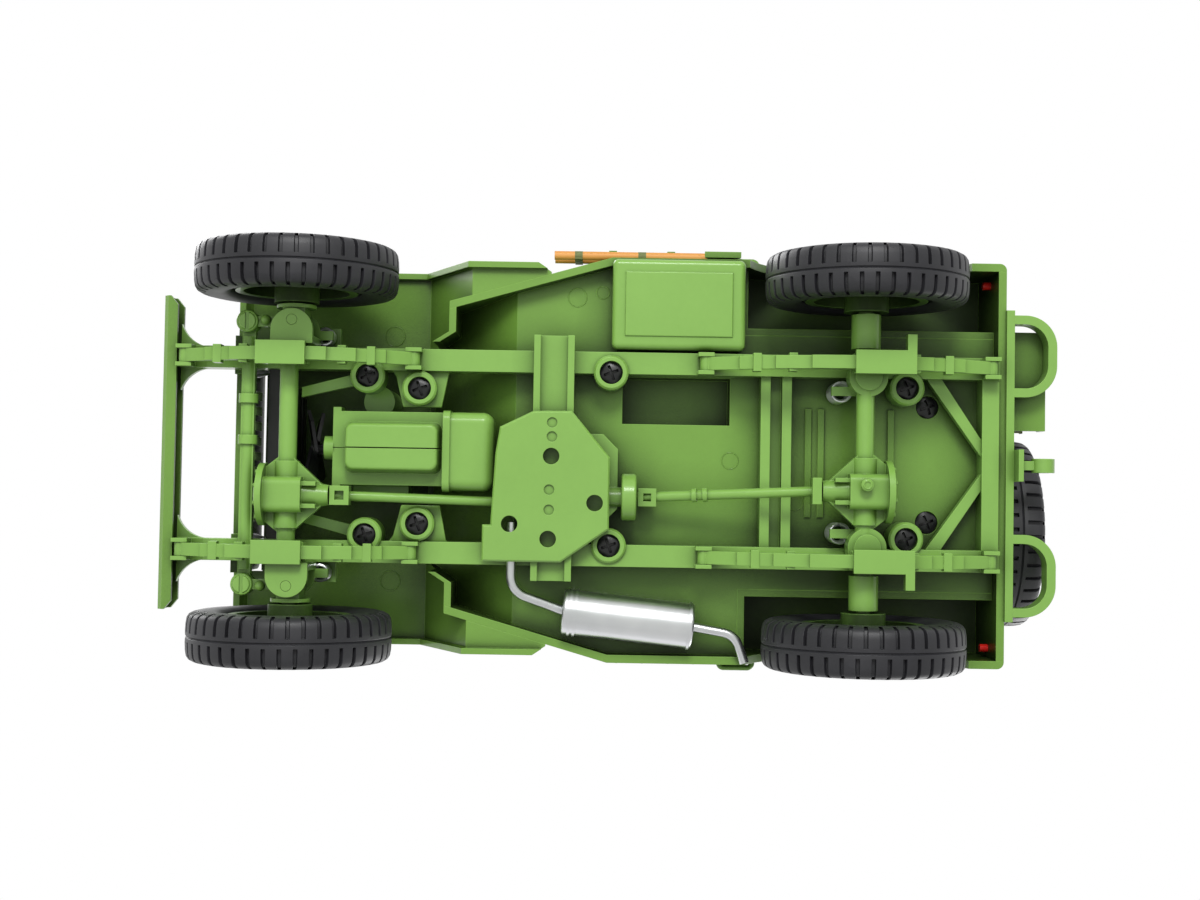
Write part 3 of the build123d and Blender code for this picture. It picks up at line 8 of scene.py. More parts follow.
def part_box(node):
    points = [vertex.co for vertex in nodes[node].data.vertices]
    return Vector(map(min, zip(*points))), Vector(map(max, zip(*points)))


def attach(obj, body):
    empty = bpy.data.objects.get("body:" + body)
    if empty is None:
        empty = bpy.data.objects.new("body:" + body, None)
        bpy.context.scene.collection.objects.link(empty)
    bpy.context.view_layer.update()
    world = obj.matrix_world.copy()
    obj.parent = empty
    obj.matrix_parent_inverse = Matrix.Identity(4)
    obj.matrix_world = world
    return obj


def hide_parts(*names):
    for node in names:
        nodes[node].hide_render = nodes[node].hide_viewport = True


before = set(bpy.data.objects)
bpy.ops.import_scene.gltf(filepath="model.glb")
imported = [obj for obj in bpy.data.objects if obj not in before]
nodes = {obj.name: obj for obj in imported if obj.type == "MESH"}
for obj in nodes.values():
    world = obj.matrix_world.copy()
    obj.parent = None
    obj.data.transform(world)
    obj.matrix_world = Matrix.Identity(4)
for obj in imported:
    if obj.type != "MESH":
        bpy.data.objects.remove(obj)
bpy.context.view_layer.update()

# The view: the model's underside, seen square on from below.
# The front bumper is at the left of the picture and the model's left wheels are at the top.
MM = 0.001
PHOTO_WIDTH = 1200
PHOTO_FOCAL = 1618
EYE = Vector((-9.0, -2.0, -300.0)) * MM
TILT = math.radians(1.9)
ROLL = math.radians(0.95)

eye_data = bpy.data.cameras.new("eye")
eye_data.sensor_width = 36.0
eye_data.lens = PHOTO_FOCAL / PHOTO_WIDTH * eye_data.sensor_width
eye_data.clip_start = 0.01
eye = bpy.data.objects.new("eye", eye_data)
bpy.context.scene.collection.objects.link(eye)
up_and_over = Matrix(((0, 1, 0), (1, 0, 0), (0, 0, -1)))
turn = Matrix.Rotation(TILT, 3, "Y") @ up_and_over @ Matrix.Rotation(ROLL, 3, "Z")
eye.matrix_world = Matrix.Translation(EYE) @ turn.to_4x4()
bpy.context.scene.camera = eye
bpy.context.scene.view_settings.view_transform = "Standard"


class Field:
    """A node's output that takes part in Python arithmetic through Math nodes."""

    def __init__(self, finish, socket):
        self.finish = finish
        self.socket = socket

    def math(self, operation, *values):
        return self.finish.node("ShaderNodeMath", {"operation": operation}, dict(enumerate(values)))

    def __add__(self, other):
        return self.math("ADD", self, other)

    __radd__ = __add__

    def __sub__(self, other):
        return self.math("SUBTRACT", self, other)

    def __rsub__(self, other):
        return self.math("SUBTRACT", other, self)

    def __mul__(self, other):
        return self.math("MULTIPLY", self, other)

    __rmul__ = __mul__

    def highest(self, other):
        return self.math("MAXIMUM", self, other)

    def lowest(self, other):
        return self.math("MINIMUM", self, other)

    def power(self, other):
        return self.math("POWER", self, other)

    def sine(self):
        return self.math("SINE", self)


class Finish:
    """One material or world in the making: node() adds a node and hands back an output."""

    def __init__(self, owner):
        self.owner = owner
        owner.use_nodes = True
        self.tree = owner.node_tree
        self.tree.nodes.clear()

    def node(self, kind, settings=None, sockets=None, output=0):
        made = self.tree.nodes.new(kind)
        for key, value in (settings or {}).items():
            setattr(made, key, value)
        for key, value in (sockets or {}).items():
            self.feed(made.inputs[key], value)
        return Field(self, made.outputs[output])

    def feed(self, socket, value):
        if isinstance(value, Field):
            self.tree.links.new(value.socket, socket)
        else:
            socket.default_value = value

    def mix(self, factor, first, second):
        settings = {"data_type": "RGBA", "blend_type": "MIX"}
        return self.node("ShaderNodeMix", settings, {0: factor, 6: first, 7: second}, 2)

    def place(self):
        return self.node("ShaderNodeTexCoord", output=3)

    def noise(self, scale, detail=2.0, roughness=0.5, vector=None):
        sockets = {"Scale": scale, "Detail": detail, "Roughness": roughness}
        sockets["Vector"] = vector or self.place()
        return self.node("ShaderNodeTexNoise", {"noise_dimensions": "3D"}, sockets)

    def bump(self, strength, distance, height, under=None):
        sockets = {"Strength": strength, "Distance": distance, "Height": height}
        if under:
            sockets["Normal"] = under
        return self.node("ShaderNodeBump", {}, sockets)

    def surface(self, sockets):
        shader = self.node("ShaderNodeBsdfPrincipled", {}, sockets)
        self.close(shader)
        return self.owner

    def close(self, shader):
        is_world = isinstance(self.owner, bpy.types.World)
        end = self.tree.nodes.new("ShaderNodeOutputWorld" if is_world else "ShaderNodeOutputMaterial")
        self.tree.links.new(shader.socket, end.inputs["Surface"])


def linear(red, green, blue):
    """A colour given in display values from 0 to 255, as the shader wants it."""
    steps = [value / 255 for value in (red, green, blue)]
    return tuple(s / 12.92 if s <= 0.04045 else ((s + 0.055) / 1.055) ** 2.4 for s in steps) + (1.0,)


# Light: a white studio with soft lamps above and below, and a smaller key low on the model's left.
# The floor shows from above only, so that light and the eye reach the underside.
WHITE = (1.0, 1.0, 1.0, 1.0)
STUDIO_GREY = 0.30
FLOOR_SHADE = linear(226, 226, 224)
FLOOR_SIZE = 6.0
FLOOR_GLOW = 0.65


def seen_by_eye(finish):
    """1 for rays that show a background: straight from the eye, in a reflection or through glass."""
    path = finish.node("ShaderNodeLightPath")
    by_name = path.socket.node.outputs
    straight = Field(finish, by_name["Is Camera Ray"])
    mirrored = Field(finish, by_name["Is Glossy Ray"])
    through = Field(finish, by_name["Is Transmission Ray"])
    return straight.highest(mirrored).highest(through)


studio_world = bpy.data.worlds.new("studio")
bpy.context.scene.world = studio_world
studio = Finish(studio_world)
studio_level = seen_by_eye(studio) * (1.0 - STUDIO_GREY) + STUDIO_GREY
studio.close(studio.node("ShaderNodeBackground", {}, {"Color": WHITE, "Strength": studio_level}))

# Columns: place and width in metres, and watts.
LAMPS = {
    "lamp_below": ((0.16, -0.14, -0.62), 1.10, 3.5),
    "lamp_key": ((0.46, 0.02, -0.52), 0.22, 2.9),
    "lamp_above": ((0.45, -0.55, 0.75), 0.60, 6.4),
    "lamp_behind": ((-0.60, 0.50, 0.60), 0.60, 3.4),
}
LAMP_AIM = Vector((0.0, 0.0, 0.03))
for lamp_name, (lamp_place, lamp_width, watts) in LAMPS.items():
    lamp_data = bpy.data.lights.new(lamp_name, "AREA")
    lamp_data.shape = "DISK"
    lamp_data.size = lamp_width
    lamp_data.energy = watts
    lamp = bpy.data.objects.new(lamp_name, lamp_data)
    bpy.context.scene.collection.objects.link(lamp)
    spot = Vector(lamp_place)
    facing = (LAMP_AIM - spot).to_track_quat("-Z", "Y")
    lamp.matrix_world = Matrix.Translation(spot) @ facing.to_matrix().to_4x4()

floor_mesh = bpy.data.meshes.new("floor")
floor_form = bmesh.new()
bmesh.ops.create_grid(floor_form, x_segments=1, y_segments=1, size=FLOOR_SIZE / 2)
floor_form.to_mesh(floor_mesh)
floor_form.free()
floor = bpy.data.objects.new("floor", floor_mesh)
bpy.context.scene.collection.objects.link(floor)
paper = Finish(bpy.data.materials.new("floor_paper"))
paper_shade = paper.node("ShaderNodeBsdfDiffuse", {}, {"Color": FLOOR_SHADE})
paper_glow = paper.node("ShaderNodeEmission", {}, {"Color": FLOOR_SHADE, "Strength": 1.0})
paper_matt = paper.node("ShaderNodeMixShader", {}, {0: FLOOR_GLOW, 1: paper_shade, 2: paper_glow})
paper_clear = paper.node("ShaderNodeBsdfTransparent")
paper_back = paper.node("ShaderNodeNewGeometry", output=6)
paper_shown = seen_by_eye(paper) * (1.0 - paper_back)
paper.close(paper.node("ShaderNodeMixShader", {}, {0: paper_shown, 1: paper_clear, 2: paper_matt}))
floor.data.materials.append(paper.owner)


# Chassis mouldings: the frame, springs, axles, engine and rear loops are one glossy green plastic.
# It drifts in tone where it flowed into the mould, and has painted highlights on its edges and painted shade
# in its corners.
CHASSIS_GREEN = (129, 175, 80)
EDGE_ROUND = 0.20 * MM
CHASSIS_CORNER = 5.0 * MM
# Painted shade deep inside closed spaces: how far it looks, where it starts and how fast it falls.
RECESS_REACH = 30.0 * MM
RECESS_FLOOR = 0.22
RECESS_SLOPE = 2.8
# Tint of the painted shade in corners and recesses.
SHADE_TINT = (0.97, 1.04, 0.80)
COAT_SHARE = 0.6
COAT_ROUGHNESS = 0.12
DULL_SPECULAR = 0.22
BROAD_DRIFT = 55.0
SPECKS = 900.0
FINE_GRAIN = 5200.0
GRAIN_HIGH = 0.03 * MM
# How strongly edges take the painted highlight.
EDGE_GAIN = 5.0
EDGE_MOST = 0.5


def moulded(name, shade, gloss, drift, grain, painted_corner_shade, corner, recess=1.0):
    """Plastic or painted casting: drifting colour, painted highlights on edges, painted shade in corners,
    fine grain.
    Recess is how far the colour falls as painted shade deep inside a closed space, where the gloss goes too."""
    finish = Finish(bpy.data.materials.new(name))
    spot = finish.place()
    broad = finish.noise(BROAD_DRIFT, 3.0, 0.6, spot)
    speck = finish.noise(SPECKS, 2.0, 0.5, spot)
    fine = finish.noise(FINE_GRAIN, 2.0, 0.6, spot)
    pale = linear(*[min(255, value * (1 + drift)) for value in shade])
    deep = linear(*[value * (1 - drift) for value in shade])
    tone = finish.mix(broad * 0.75 + speck * 0.25, deep, pale)
    # Painted shade: ambient occlusion darkens the colour towards a shaded tint in corners, and the coat fades
    # there too.
    open_to_light = finish.node("ShaderNodeAmbientOcclusion", {"samples": 6}, {"Distance": corner}, 1)
    shaded = linear(*[value * (1 - painted_corner_shade) * tint for value, tint in zip(shade, SHADE_TINT)])
    tone = finish.mix(open_to_light.power(1.4), shaded, tone)
    gloss_shown = open_to_light
    if recess < 1.0:
        # Painted shade: deep inside closed spaces the colour falls towards near black, and the coat fades
        # with it.
        sky = finish.node("ShaderNodeAmbientOcclusion", {"samples": 6}, {"Distance": RECESS_REACH}, 1)
        inside = linear(*[value * recess * tint for value, tint in zip(shade, SHADE_TINT)])
        outside = ((sky - RECESS_FLOOR) * RECESS_SLOPE).highest(0.0).lowest(1.0)
        tone = finish.mix(outside, inside, tone)
        gloss_shown = gloss_shown * outside
    # Painted highlight: edges found by the bevel are painted a paler tone.
    rounded = finish.node("ShaderNodeBevel", {"samples": 6}, {"Radius": EDGE_ROUND})
    flat = finish.node("ShaderNodeNewGeometry", output=1)
    agree = finish.node("ShaderNodeVectorMath", {"operation": "DOT_PRODUCT"}, {0: rounded, 1: flat}, 1)
    edge = ((1.0 - agree) * EDGE_GAIN).lowest(EDGE_MOST)
    painted_edge_highlight = linear(*[min(255, value * 1.16 + 10) for value in shade])
    tone = finish.mix(edge * (0.5 + broad), tone, painted_edge_highlight)
    return finish.surface({
        "Base Color": tone,
        "Roughness": gloss + 0.14 * speck + 0.10 * broad,
        "Specular IOR Level": DULL_SPECULAR,
        "Coat Weight": gloss_shown * COAT_SHARE,
        "Coat Roughness": COAT_ROUGHNESS,
        "Normal": finish.bump(grain, GRAIN_HIGH, fine + speck * 2.0, rounded),
    })


def coat(material, *names):
    """Gives CAD pieces their finish."""
    for name in names:
        piece = nodes[name].data
        piece.materials.clear()
        piece.materials.append(material)


chassis_green = moulded("chassis_green", CHASSIS_GREEN, 0.24, 0.05, 0.10, 0.55, CHASSIS_CORNER)
coat(
    chassis_green,
    "frame_rails", "rear_crossmembers", "rear_braces", "gearbox_crossmember", "skid_plate", "leaf_springs",
    "front_axle", "rear_axle", "drive_shafts", "transfer_case", "engine", "fuel_tank", "knuckle_left",
    "knuckle_right", "tie_rod", "pintle_hook", "rear_bumperettes",
)

# Tub and sheet metal: a painted casting, a shade quieter than the chassis.
# The paint is satin with a faint orange-peel, and also covers the front bumper and the seat frames.
BODY_GREEN = (114, 158, 62)
BODY_CORNER = 9.0 * MM

# Its corners carry painted shade, and deep closed spaces such as the engine bay and the hood's underside are
# painted dark as shade.
body_green = moulded("body_green", BODY_GREEN, 0.30, 0.04, 0.16, 0.45, BODY_CORNER, 0.30)
coat(
    body_green,
    "floor_pan", "body_sides", "rear_panel", "wheel_houses", "cowl", "fenders", "grille", "hood",
    "windshield_frame", "rear_carriers", "side_fittings", "jerry_can", "tool_heads", "front_bumper",
    "front_seats", "rear_seat",
)

# Black plastic: radiator, fan and steering wheel, moulded with a slight sheen.
# They are pushed onto the frame, the engine and the dash.
black = Finish(bpy.data.materials.new("black_plastic"))
black_spot = black.place()
black_fine = black.noise(2400.0, 2.0, 0.5, black_spot)
black_broad = black.noise(160.0, 2.0, 0.5, black_spot)
black_plastic = black.surface({
    "Base Color": black.mix(black_broad * 0.5 + black_fine * 0.5, linear(12, 12, 13), linear(28, 28, 30)),
    "Roughness": 0.24 + 0.16 * black_fine,
    "Normal": black.bump(0.2, GRAIN_HIGH, black_fine),
})
coat(black_plastic, "radiator", "cooling_fan", "steering_wheel")

# Screws: black pan heads with a cross recess hold the chassis to the tub.
# Eight sit in the bosses along the rails, and two in the floor behind the rear axle.
BOSS_SCREWS = ((16.0, -49.0), (13.6, -38.5), (17.4, 0.0), (15.2, 59.6))
BOSS_SEAT_Z = 26.1
FLOOR_SCREWS = ((11.8, 64.9),)
FLOOR_SEAT_Z = 32.0
SCREW_R = 2.2
SCREW_PROUD = 0.5
SCREW_TURN = math.radians(20)
SHARP_ANGLE = math.radians(38)
MERGE_GAP = 0.001 * MM
DOWN = (0, 0, -1)
# Shape of a head and its cross, in shares of the head's radius.
HEAD_GRID = 7
HEAD_DOME = 0.30
CROSS_HALF = 0.1
CROSS_LONG = 0.6
CROSS_DEEP = 0.44
CROSS_TAPER = 0.80


def stand(form, verts, place, facing):
    """Turns a shape made along +Z to face a direction and sets it on a place in millimetres."""
    turn = Vector((0, 0, 1)).rotation_difference(Vector(facing)).to_matrix()
    bmesh.ops.rotate(form, cent=(0, 0, 0), matrix=turn, verts=verts)
    bmesh.ops.translate(form, vec=Vector(place) * MM, verts=verts)


def new_piece(name, mesh, body, material):
    """A finished mesh as a piece of the model that moves with a body."""
    piece = bpy.data.objects.new(name, mesh)
    bpy.context.scene.collection.objects.link(piece)
    if not mesh.materials:
        mesh.materials.append(material)
    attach(piece, body)
    return piece


def finished(name, form, body, material):
    """Closes a bmesh into a piece: doubles merged, faces outwards, smooth but for sharp edges."""
    bmesh.ops.remove_doubles(form, verts=form.verts[:], dist=MERGE_GAP)
    bmesh.ops.recalc_face_normals(form, faces=form.faces[:])
    mesh = bpy.data.meshes.new(name)
    form.to_mesh(mesh)
    form.free()
    mesh.shade_smooth()
    mesh.set_sharp_from_angle(angle=SHARP_ANGLE)
    return new_piece(name, mesh, body, material)


def cross_screw(form, place, facing, radius):
    """A domed round head with a tapered cross recess."""
    head = bmesh.ops.create_grid(form, x_segments=HEAD_GRID, y_segments=HEAD_GRID, size=1.0)["verts"]
    faces = list({face for vert in head for face in vert.link_faces})
    recess = []
    for face in faces:
        middle = face.calc_center_median()
        across, along = sorted((abs(middle.x), abs(middle.y)))
        if across < CROSS_HALF and along < CROSS_LONG:
            recess.append(face)
    for vert in head:
        x, y = vert.co.x, vert.co.y
        rise = HEAD_DOME * (1 - (x * x + y * y) / 2)
        vert.co = Vector((x * math.sqrt(1 - y * y / 2), y * math.sqrt(1 - x * x / 2), rise))
    rim = [edge for edge in form.edges if edge.is_boundary and edge.verts[0] in head]
    skirt = bmesh.ops.extrude_edge_only(form, edges=rim)["geom"]
    skirt_verts = [part for part in skirt if isinstance(part, bmesh.types.BMVert)]
    bmesh.ops.translate(form, vec=(0, 0, -HEAD_DOME), verts=skirt_verts)
    sunk = bmesh.ops.extrude_face_region(form, geom=recess)["geom"]
    bmesh.ops.delete(form, geom=[face for face in recess if face.is_valid], context="FACES_ONLY")
    sunk_verts = [part for part in sunk if isinstance(part, bmesh.types.BMVert)]
    bmesh.ops.translate(form, vec=(0, 0, -CROSS_DEEP), verts=sunk_verts)
    bmesh.ops.scale(form, vec=(CROSS_TAPER, CROSS_TAPER, 1.0), verts=sunk_verts)
    whole = list(set(head + skirt_verts + sunk_verts))
    bmesh.ops.scale(form, vec=(radius * MM, radius * MM, radius * MM), verts=whole)
    bmesh.ops.rotate(form, cent=(0, 0, 0), matrix=Matrix.Rotation(SCREW_TURN, 3, "Z"), verts=whole)
    stand(form, whole, place, facing)


screw_form = bmesh.new()
for spots, seat_z in ((BOSS_SCREWS, BOSS_SEAT_Z), (FLOOR_SCREWS, FLOOR_SEAT_Z)):
    for across, along in spots:
        for side in (-1, 1):
            cross_screw(screw_form, (side * across, along, seat_z - SCREW_PROUD), DOWN, SCREW_R)
finished("chassis_screws", screw_form, "chassis", black_plastic)

# Steering knobs: a flat slotted pin head pressed in under each steering arm, and a small ball beside it.
# They are moulded with the knuckles and turn with them.
KNOB_X = 26.0
KNOB_Y = -72.2
KNOB_Z = 19.0
KNOB_R = 1.8
KNOB_TALL = 0.2
KNOB_TAPER = 0.86
SLOT_SHARE = 0.2
BALL_PLACE = (26.3, -68.6, 19.5)
BALL_R = 1.05


def add_stud(form, place, facing, radius, tall, sides=24, top=1.0):
    """A short round stud on a place, such as a cap, pin or, with six sides, a nut."""
    made = bmesh.ops.create_cone(
        form, cap_ends=True, segments=sides, radius1=radius * MM, radius2=radius * top * MM, depth=tall * MM)
    bmesh.ops.translate(form, vec=(0, 0, tall / 2 * MM), verts=made["verts"])
    stand(form, made["verts"], place, facing)


def join(form, extra):
    """Adds one bmesh to another and lets it go."""
    mesh = bpy.data.meshes.new("extra")
    extra.to_mesh(mesh)
    extra.free()
    form.from_mesh(mesh)
    bpy.data.meshes.remove(mesh)


def slotted_head(form, place, facing, radius, tall):
    """A flat round head cut in two by a slot."""
    for side in (-1, 1):
        half = bmesh.new()
        bmesh.ops.create_cone(
            half, cap_ends=True, segments=28, depth=tall * MM,
            radius1=radius * MM, radius2=KNOB_TAPER * radius * MM)
        bmesh.ops.translate(half, vec=(0, 0, tall / 2 * MM), verts=half.verts[:])
        bmesh.ops.bisect_plane(
            half, geom=half.verts[:] + half.edges[:] + half.faces[:], plane_no=(side, 0, 0),
            plane_co=(side * SLOT_SHARE * radius * MM, 0, 0), clear_inner=True)
        bmesh.ops.holes_fill(half, edges=half.edges[:])
        stand(half, half.verts[:], place, facing)
        join(form, half)


def add_ball(form, place, radius):
    ball = bmesh.ops.create_icosphere(form, subdivisions=3, radius=radius * MM)["verts"]
    bmesh.ops.translate(form, vec=Vector(place) * MM, verts=ball)


for side, hand in ((1, "left"), (-1, "right")):
    knob_form = bmesh.new()
    slotted_head(knob_form, (side * KNOB_X, KNOB_Y, KNOB_Z), DOWN, KNOB_R, KNOB_TALL)
    add_ball(knob_form, (side * BALL_PLACE[0], BALL_PLACE[1], BALL_PLACE[2]), BALL_R)
    finished("steering_knob_" + hand, knob_form, "steer_" + hand, chassis_green)

# Road wheels and the spare: green moulded discs with five wheel nuts, a hub cap and a valve.
# Each nut is a six-sided cap on a washer, on the flat ring round the hub.
WHEEL_GREEN = (116, 158, 74)
CORNERS = ("front_left", "front_right", "rear_left", "rear_right")
NUTS = 5
NUT_RING_R = 5.2
NUT_FACE = 2.9
NUT_R = 0.78
WASHER_R = 1.0
HUB_FACE = 4.6
HUB_CAP_R = 2.3
VALVE_FOOT = (2.0, 2.6, 9.2)
VALVE_LEAN = (0.8, -0.2, -0.5)
QUARTER_TURN = math.radians(90)

# Its corners carry painted shade, and deep closed spaces in the wheels are painted dark as shade.
wheel_green = moulded("wheel_green", WHEEL_GREEN, 0.30, 0.04, 0.10, 0.50, CHASSIS_CORNER, 0.30)
coat(wheel_green, "spare_wheel", *["wheel_" + corner for corner in CORNERS])


def middle_of(name):
    low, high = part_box(name)
    return (low + high) / 2


def wheel_hardware(form):
    """Nuts, hub cap and valve about a wheel's centre, with the outer face towards +X."""
    out = (1, 0, 0)
    for step in range(NUTS):
        angle = math.tau * step / NUTS
        y, z = NUT_RING_R * math.sin(angle), NUT_RING_R * math.cos(angle)
        add_stud(form, (NUT_FACE - 0.1, y, z), out, WASHER_R, 0.35)
        add_stud(form, (NUT_FACE + 0.2, y, z), out, NUT_R, 0.75, 6, 0.86)
    add_stud(form, (HUB_FACE - 0.1, 0, 0), out, HUB_CAP_R, 0.3, 28, 0.86)
    add_stud(form, VALVE_FOOT, VALVE_LEAN, 0.35, 2.0, 12)


for corner in CORNERS:
    hardware = bmesh.new()
    wheel_hardware(hardware)
    if corner.endswith("right"):
        bmesh.ops.scale(hardware, vec=(-1, 1, 1), verts=hardware.verts[:])
    bmesh.ops.translate(hardware, vec=middle_of("tyre_" + corner), verts=hardware.verts[:])
    finished("wheel_nuts_" + corner, hardware, "road_wheel_" + corner, wheel_green)
spare_hardware = bmesh.new()
wheel_hardware(spare_hardware)
to_rear = Matrix.Rotation(QUARTER_TURN, 3, "Z")
bmesh.ops.rotate(spare_hardware, cent=(0, 0, 0), matrix=to_rear, verts=spare_hardware.verts[:])
bmesh.ops.translate(spare_hardware, vec=middle_of("spare_tyre"), verts=spare_hardware.verts[:])
finished("wheel_nuts_spare", spare_hardware, "chassis", wheel_green)

# Tyres: soft black rubber, stretched onto the wheels, with a row of lugs either side of a fine centre line.
# Each slot between two lugs runs over the shoulder and a little way down the side.
LUGS = 42
STEPS_A_LUG = 4
SLOT_DEEP = 1.05 * MM
SHOULDER_X = 4.4 * MM
SHOULDER_DEEP = 0.25 * MM
LUG_EDGE = 0.12 * MM
LUG_EDGE_ANGLE = math.radians(35)
HALVES_GAP = 0.01 * MM
TREAD_LINE = (
    (0.00, 19.72), (0.10, 19.72), (0.20, 19.95), (0.95, 20.00), (1.15, 20.00), (2.60, 19.93), (3.70, 19.74),
    (4.30, 19.36), (4.72, 18.62), (4.92, 17.70), (5.00, 16.70), (4.98, 16.30),
)
SIDE_LINE = (
    (4.96, 15.20), (4.70, 14.00), (4.20, 12.95), (3.95, 12.70), (3.70, 12.78), (3.45, 12.40), (3.30, 11.36),
)
FIRST_SLOT_BAND = 3
LAST_SLOT_BAND = 9


def tyre_form(offset_lug):
    """Half a tyre about the X axis, from the centre line out to the bead."""
    form = bmesh.new()
    line = [form.verts.new((x * MM, 0.0, radius * MM)) for x, radius in TREAD_LINE + SIDE_LINE]
    edges = [form.edges.new(pair) for pair in zip(line, line[1:])]
    steps = LUGS * STEPS_A_LUG
    bmesh.ops.spin(
        form, geom=line + edges, cent=(0, 0, 0), axis=(1, 0, 0), dvec=(0, 0, 0),
        angle=math.tau, steps=steps, use_merge=True, use_duplicate=False,
    )
    bands = [x * MM for x, radius in TREAD_LINE]
    slots = []
    for face in form.faces:
        centre = face.calc_center_median()
        radius = math.hypot(centre.y, centre.z)
        turned = math.atan2(-centre.y, centre.z) / math.tau * steps
        in_slot = int(math.floor(turned)) % STEPS_A_LUG == offset_lug
        on_tread = bands[FIRST_SLOT_BAND] < centre.x and radius > TREAD_LINE[LAST_SLOT_BAND][1] * MM
        if in_slot and on_tread:
            slots.append(face)
    cut = bmesh.ops.extrude_face_region(form, geom=slots)
    bmesh.ops.delete(form, geom=[face for face in slots if face.is_valid], context="FACES_ONLY")
    for vert in [part for part in cut["geom"] if isinstance(part, bmesh.types.BMVert)]:
        radius = math.hypot(vert.co.y, vert.co.z)
        inward = (radius - SLOT_DEEP) / radius
        vert.co.y *= inward
        vert.co.z *= inward
        vert.co.x -= SHOULDER_DEEP if vert.co.x > SHOULDER_X else 0.0
    return form


def tyre_mesh():
    """A whole tyre: two halves, the second mirrored, with its lugs half a step on."""
    whole = bpy.data.meshes.new("tyre")
    far = tyre_form(2)
    bmesh.ops.scale(far, vec=(-1, 1, 1), verts=far.verts[:])
    form = tyre_form(0)
    join(form, far)
    bmesh.ops.remove_doubles(form, verts=form.verts[:], dist=HALVES_GAP)
    bmesh.ops.recalc_face_normals(form, faces=form.faces[:])
    form.to_mesh(whole)
    form.free()
    whole.shade_smooth()
    return whole


def rounded_edges(piece, width):
    """Small bevels on the sharp edges of a piece, with flat faces kept flat."""
    bevel = piece.modifiers.new("edges", "BEVEL")
    bevel.width = width
    bevel.segments = 1
    bevel.limit_method = "ANGLE"
    bevel.angle_limit = LUG_EDGE_ANGLE
    bevel.harden_normals = True


rubber = Finish(bpy.data.materials.new("tyre_rubber"))
rubber_spot = rubber.place()
rubber_broad = rubber.noise(140.0, 3.0, 0.6, rubber_spot)
rubber_fine = rubber.noise(3800.0, 3.0, 0.6, rubber_spot)
tyre_rubber = rubber.surface({
    "Base Color": rubber.mix(rubber_broad, linear(28, 28, 31), linear(48, 48, 52)),
    "Roughness": 0.38 + 0.18 * rubber_broad,
    "Normal": rubber.bump(0.25, GRAIN_HIGH, rubber_fine),
})
tyre_pattern = tyre_mesh()
for corner in CORNERS:
    mesh = tyre_pattern.copy()
    mesh.transform(Matrix.Translation(middle_of("tyre_" + corner)))
    tyre = new_piece("tread_" + corner, mesh, "road_wheel_" + corner, tyre_rubber)
    rounded_edges(tyre, LUG_EDGE)
    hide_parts("tyre_" + corner)
spare_mesh = tyre_pattern.copy()
spare_mesh.transform(Matrix.Translation(middle_of("spare_tyre")) @ to_rear.to_4x4())
spare = new_piece("tread_spare", spare_mesh, "chassis", tyre_rubber)
rounded_edges(spare, LUG_EDGE)
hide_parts("spare_tyre")

# Exhaust: pipe and muffler in one piece of bright plated plastic.
# It comes down beside the skid plate and lies along the right sill.
plate = Finish(bpy.data.materials.new("bright_plate"))
plate_spot = plate.place()
plate_broad = plate.noise(120.0, 2.0, 0.5, plate_spot)
plate_fine = plate.noise(2600.0, 2.0, 0.5, plate_spot)
bright_plate = plate.surface({
    "Base Color": plate.mix(plate_broad, linear(208, 210, 214), linear(232, 233, 235)),
    "Metallic": 1.0,
    "Roughness": 0.22 + 0.14 * plate_broad,
    "Normal": plate.bump(0.06, 0.02 * MM, plate_fine),
})
coat(bright_plate, "exhaust")

# Suspension coils: bare steel wire, wound in six turns.
# Each stands loose between its seat on the axle and the frame.
WIRE_R = 0.34 * MM
WIRE_SIDES = 8
COIL_TURNS = 6
COIL_STEPS = 26
# Columns: across, along, radius, foot and head.
COILS = ((23.8, -57.9, 1.9, 25.2, 29.6), (14.2, 46.2, 2.2, 23.2, 31.0))


def wind_coil(form, across, along, radius, foot, head):
    """A wire wound about an upright axis."""
    turn_r = radius * MM - WIRE_R
    rise = (head - foot) * MM - 2 * WIRE_R
    coil = bmesh.new()
    ring = bmesh.ops.create_circle(coil, segments=WIRE_SIDES, radius=WIRE_R)["verts"]
    bmesh.ops.rotate(coil, cent=(0, 0, 0), matrix=Matrix.Rotation(QUARTER_TURN, 3, "X"), verts=ring)
    bmesh.ops.translate(coil, vec=(across * MM + turn_r, along * MM, foot * MM + WIRE_R), verts=ring)
    steps = COIL_TURNS * COIL_STEPS
    bmesh.ops.spin(
        coil, geom=ring + coil.edges[:], cent=(across * MM, along * MM, 0), axis=(0, 0, 1),
        dvec=(0, 0, rise / steps), angle=COIL_TURNS * math.tau, steps=steps,
    )
    bmesh.ops.holes_fill(coil, edges=coil.edges[:])
    join(form, coil)


wire = Finish(bpy.data.materials.new("spring_wire"))
wire_streak = wire.noise(700.0, 3.0, 0.6)
spring_wire = wire.surface({
    "Base Color": wire.mix(wire_streak, linear(206, 208, 210), linear(236, 238, 240)),
    "Metallic": 1.0,
    "Roughness": 0.30 + 0.18 * wire_streak,
})
coil_form = bmesh.new()
for across, along, radius, foot, head in COILS:
    for side in (-1, 1):
        wind_coil(coil_form, side * across, along, radius, foot, head)
coil_set = finished("wire_coils", coil_form, "chassis", spring_wire)
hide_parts("coil_springs")

# Seat pads: olive plastic moulded as sewn cushions, pressed onto the green seat frames.
# Each has a crowned top with two sewn channels and a rolled rim.
PAD_SEGMENTS = 28
PAD_CORNER = 0.16
PAD_TALL = 0.9
PAD_CROWN = 0.9
PAD_RIM = 1.02
PAD_STEP = 0.25
CHANNEL_AT = 0.36
CHANNEL_HALF = 0.07
UP = (0, 0, 1)
BACK_FACING = (0, -0.981, 0.196)
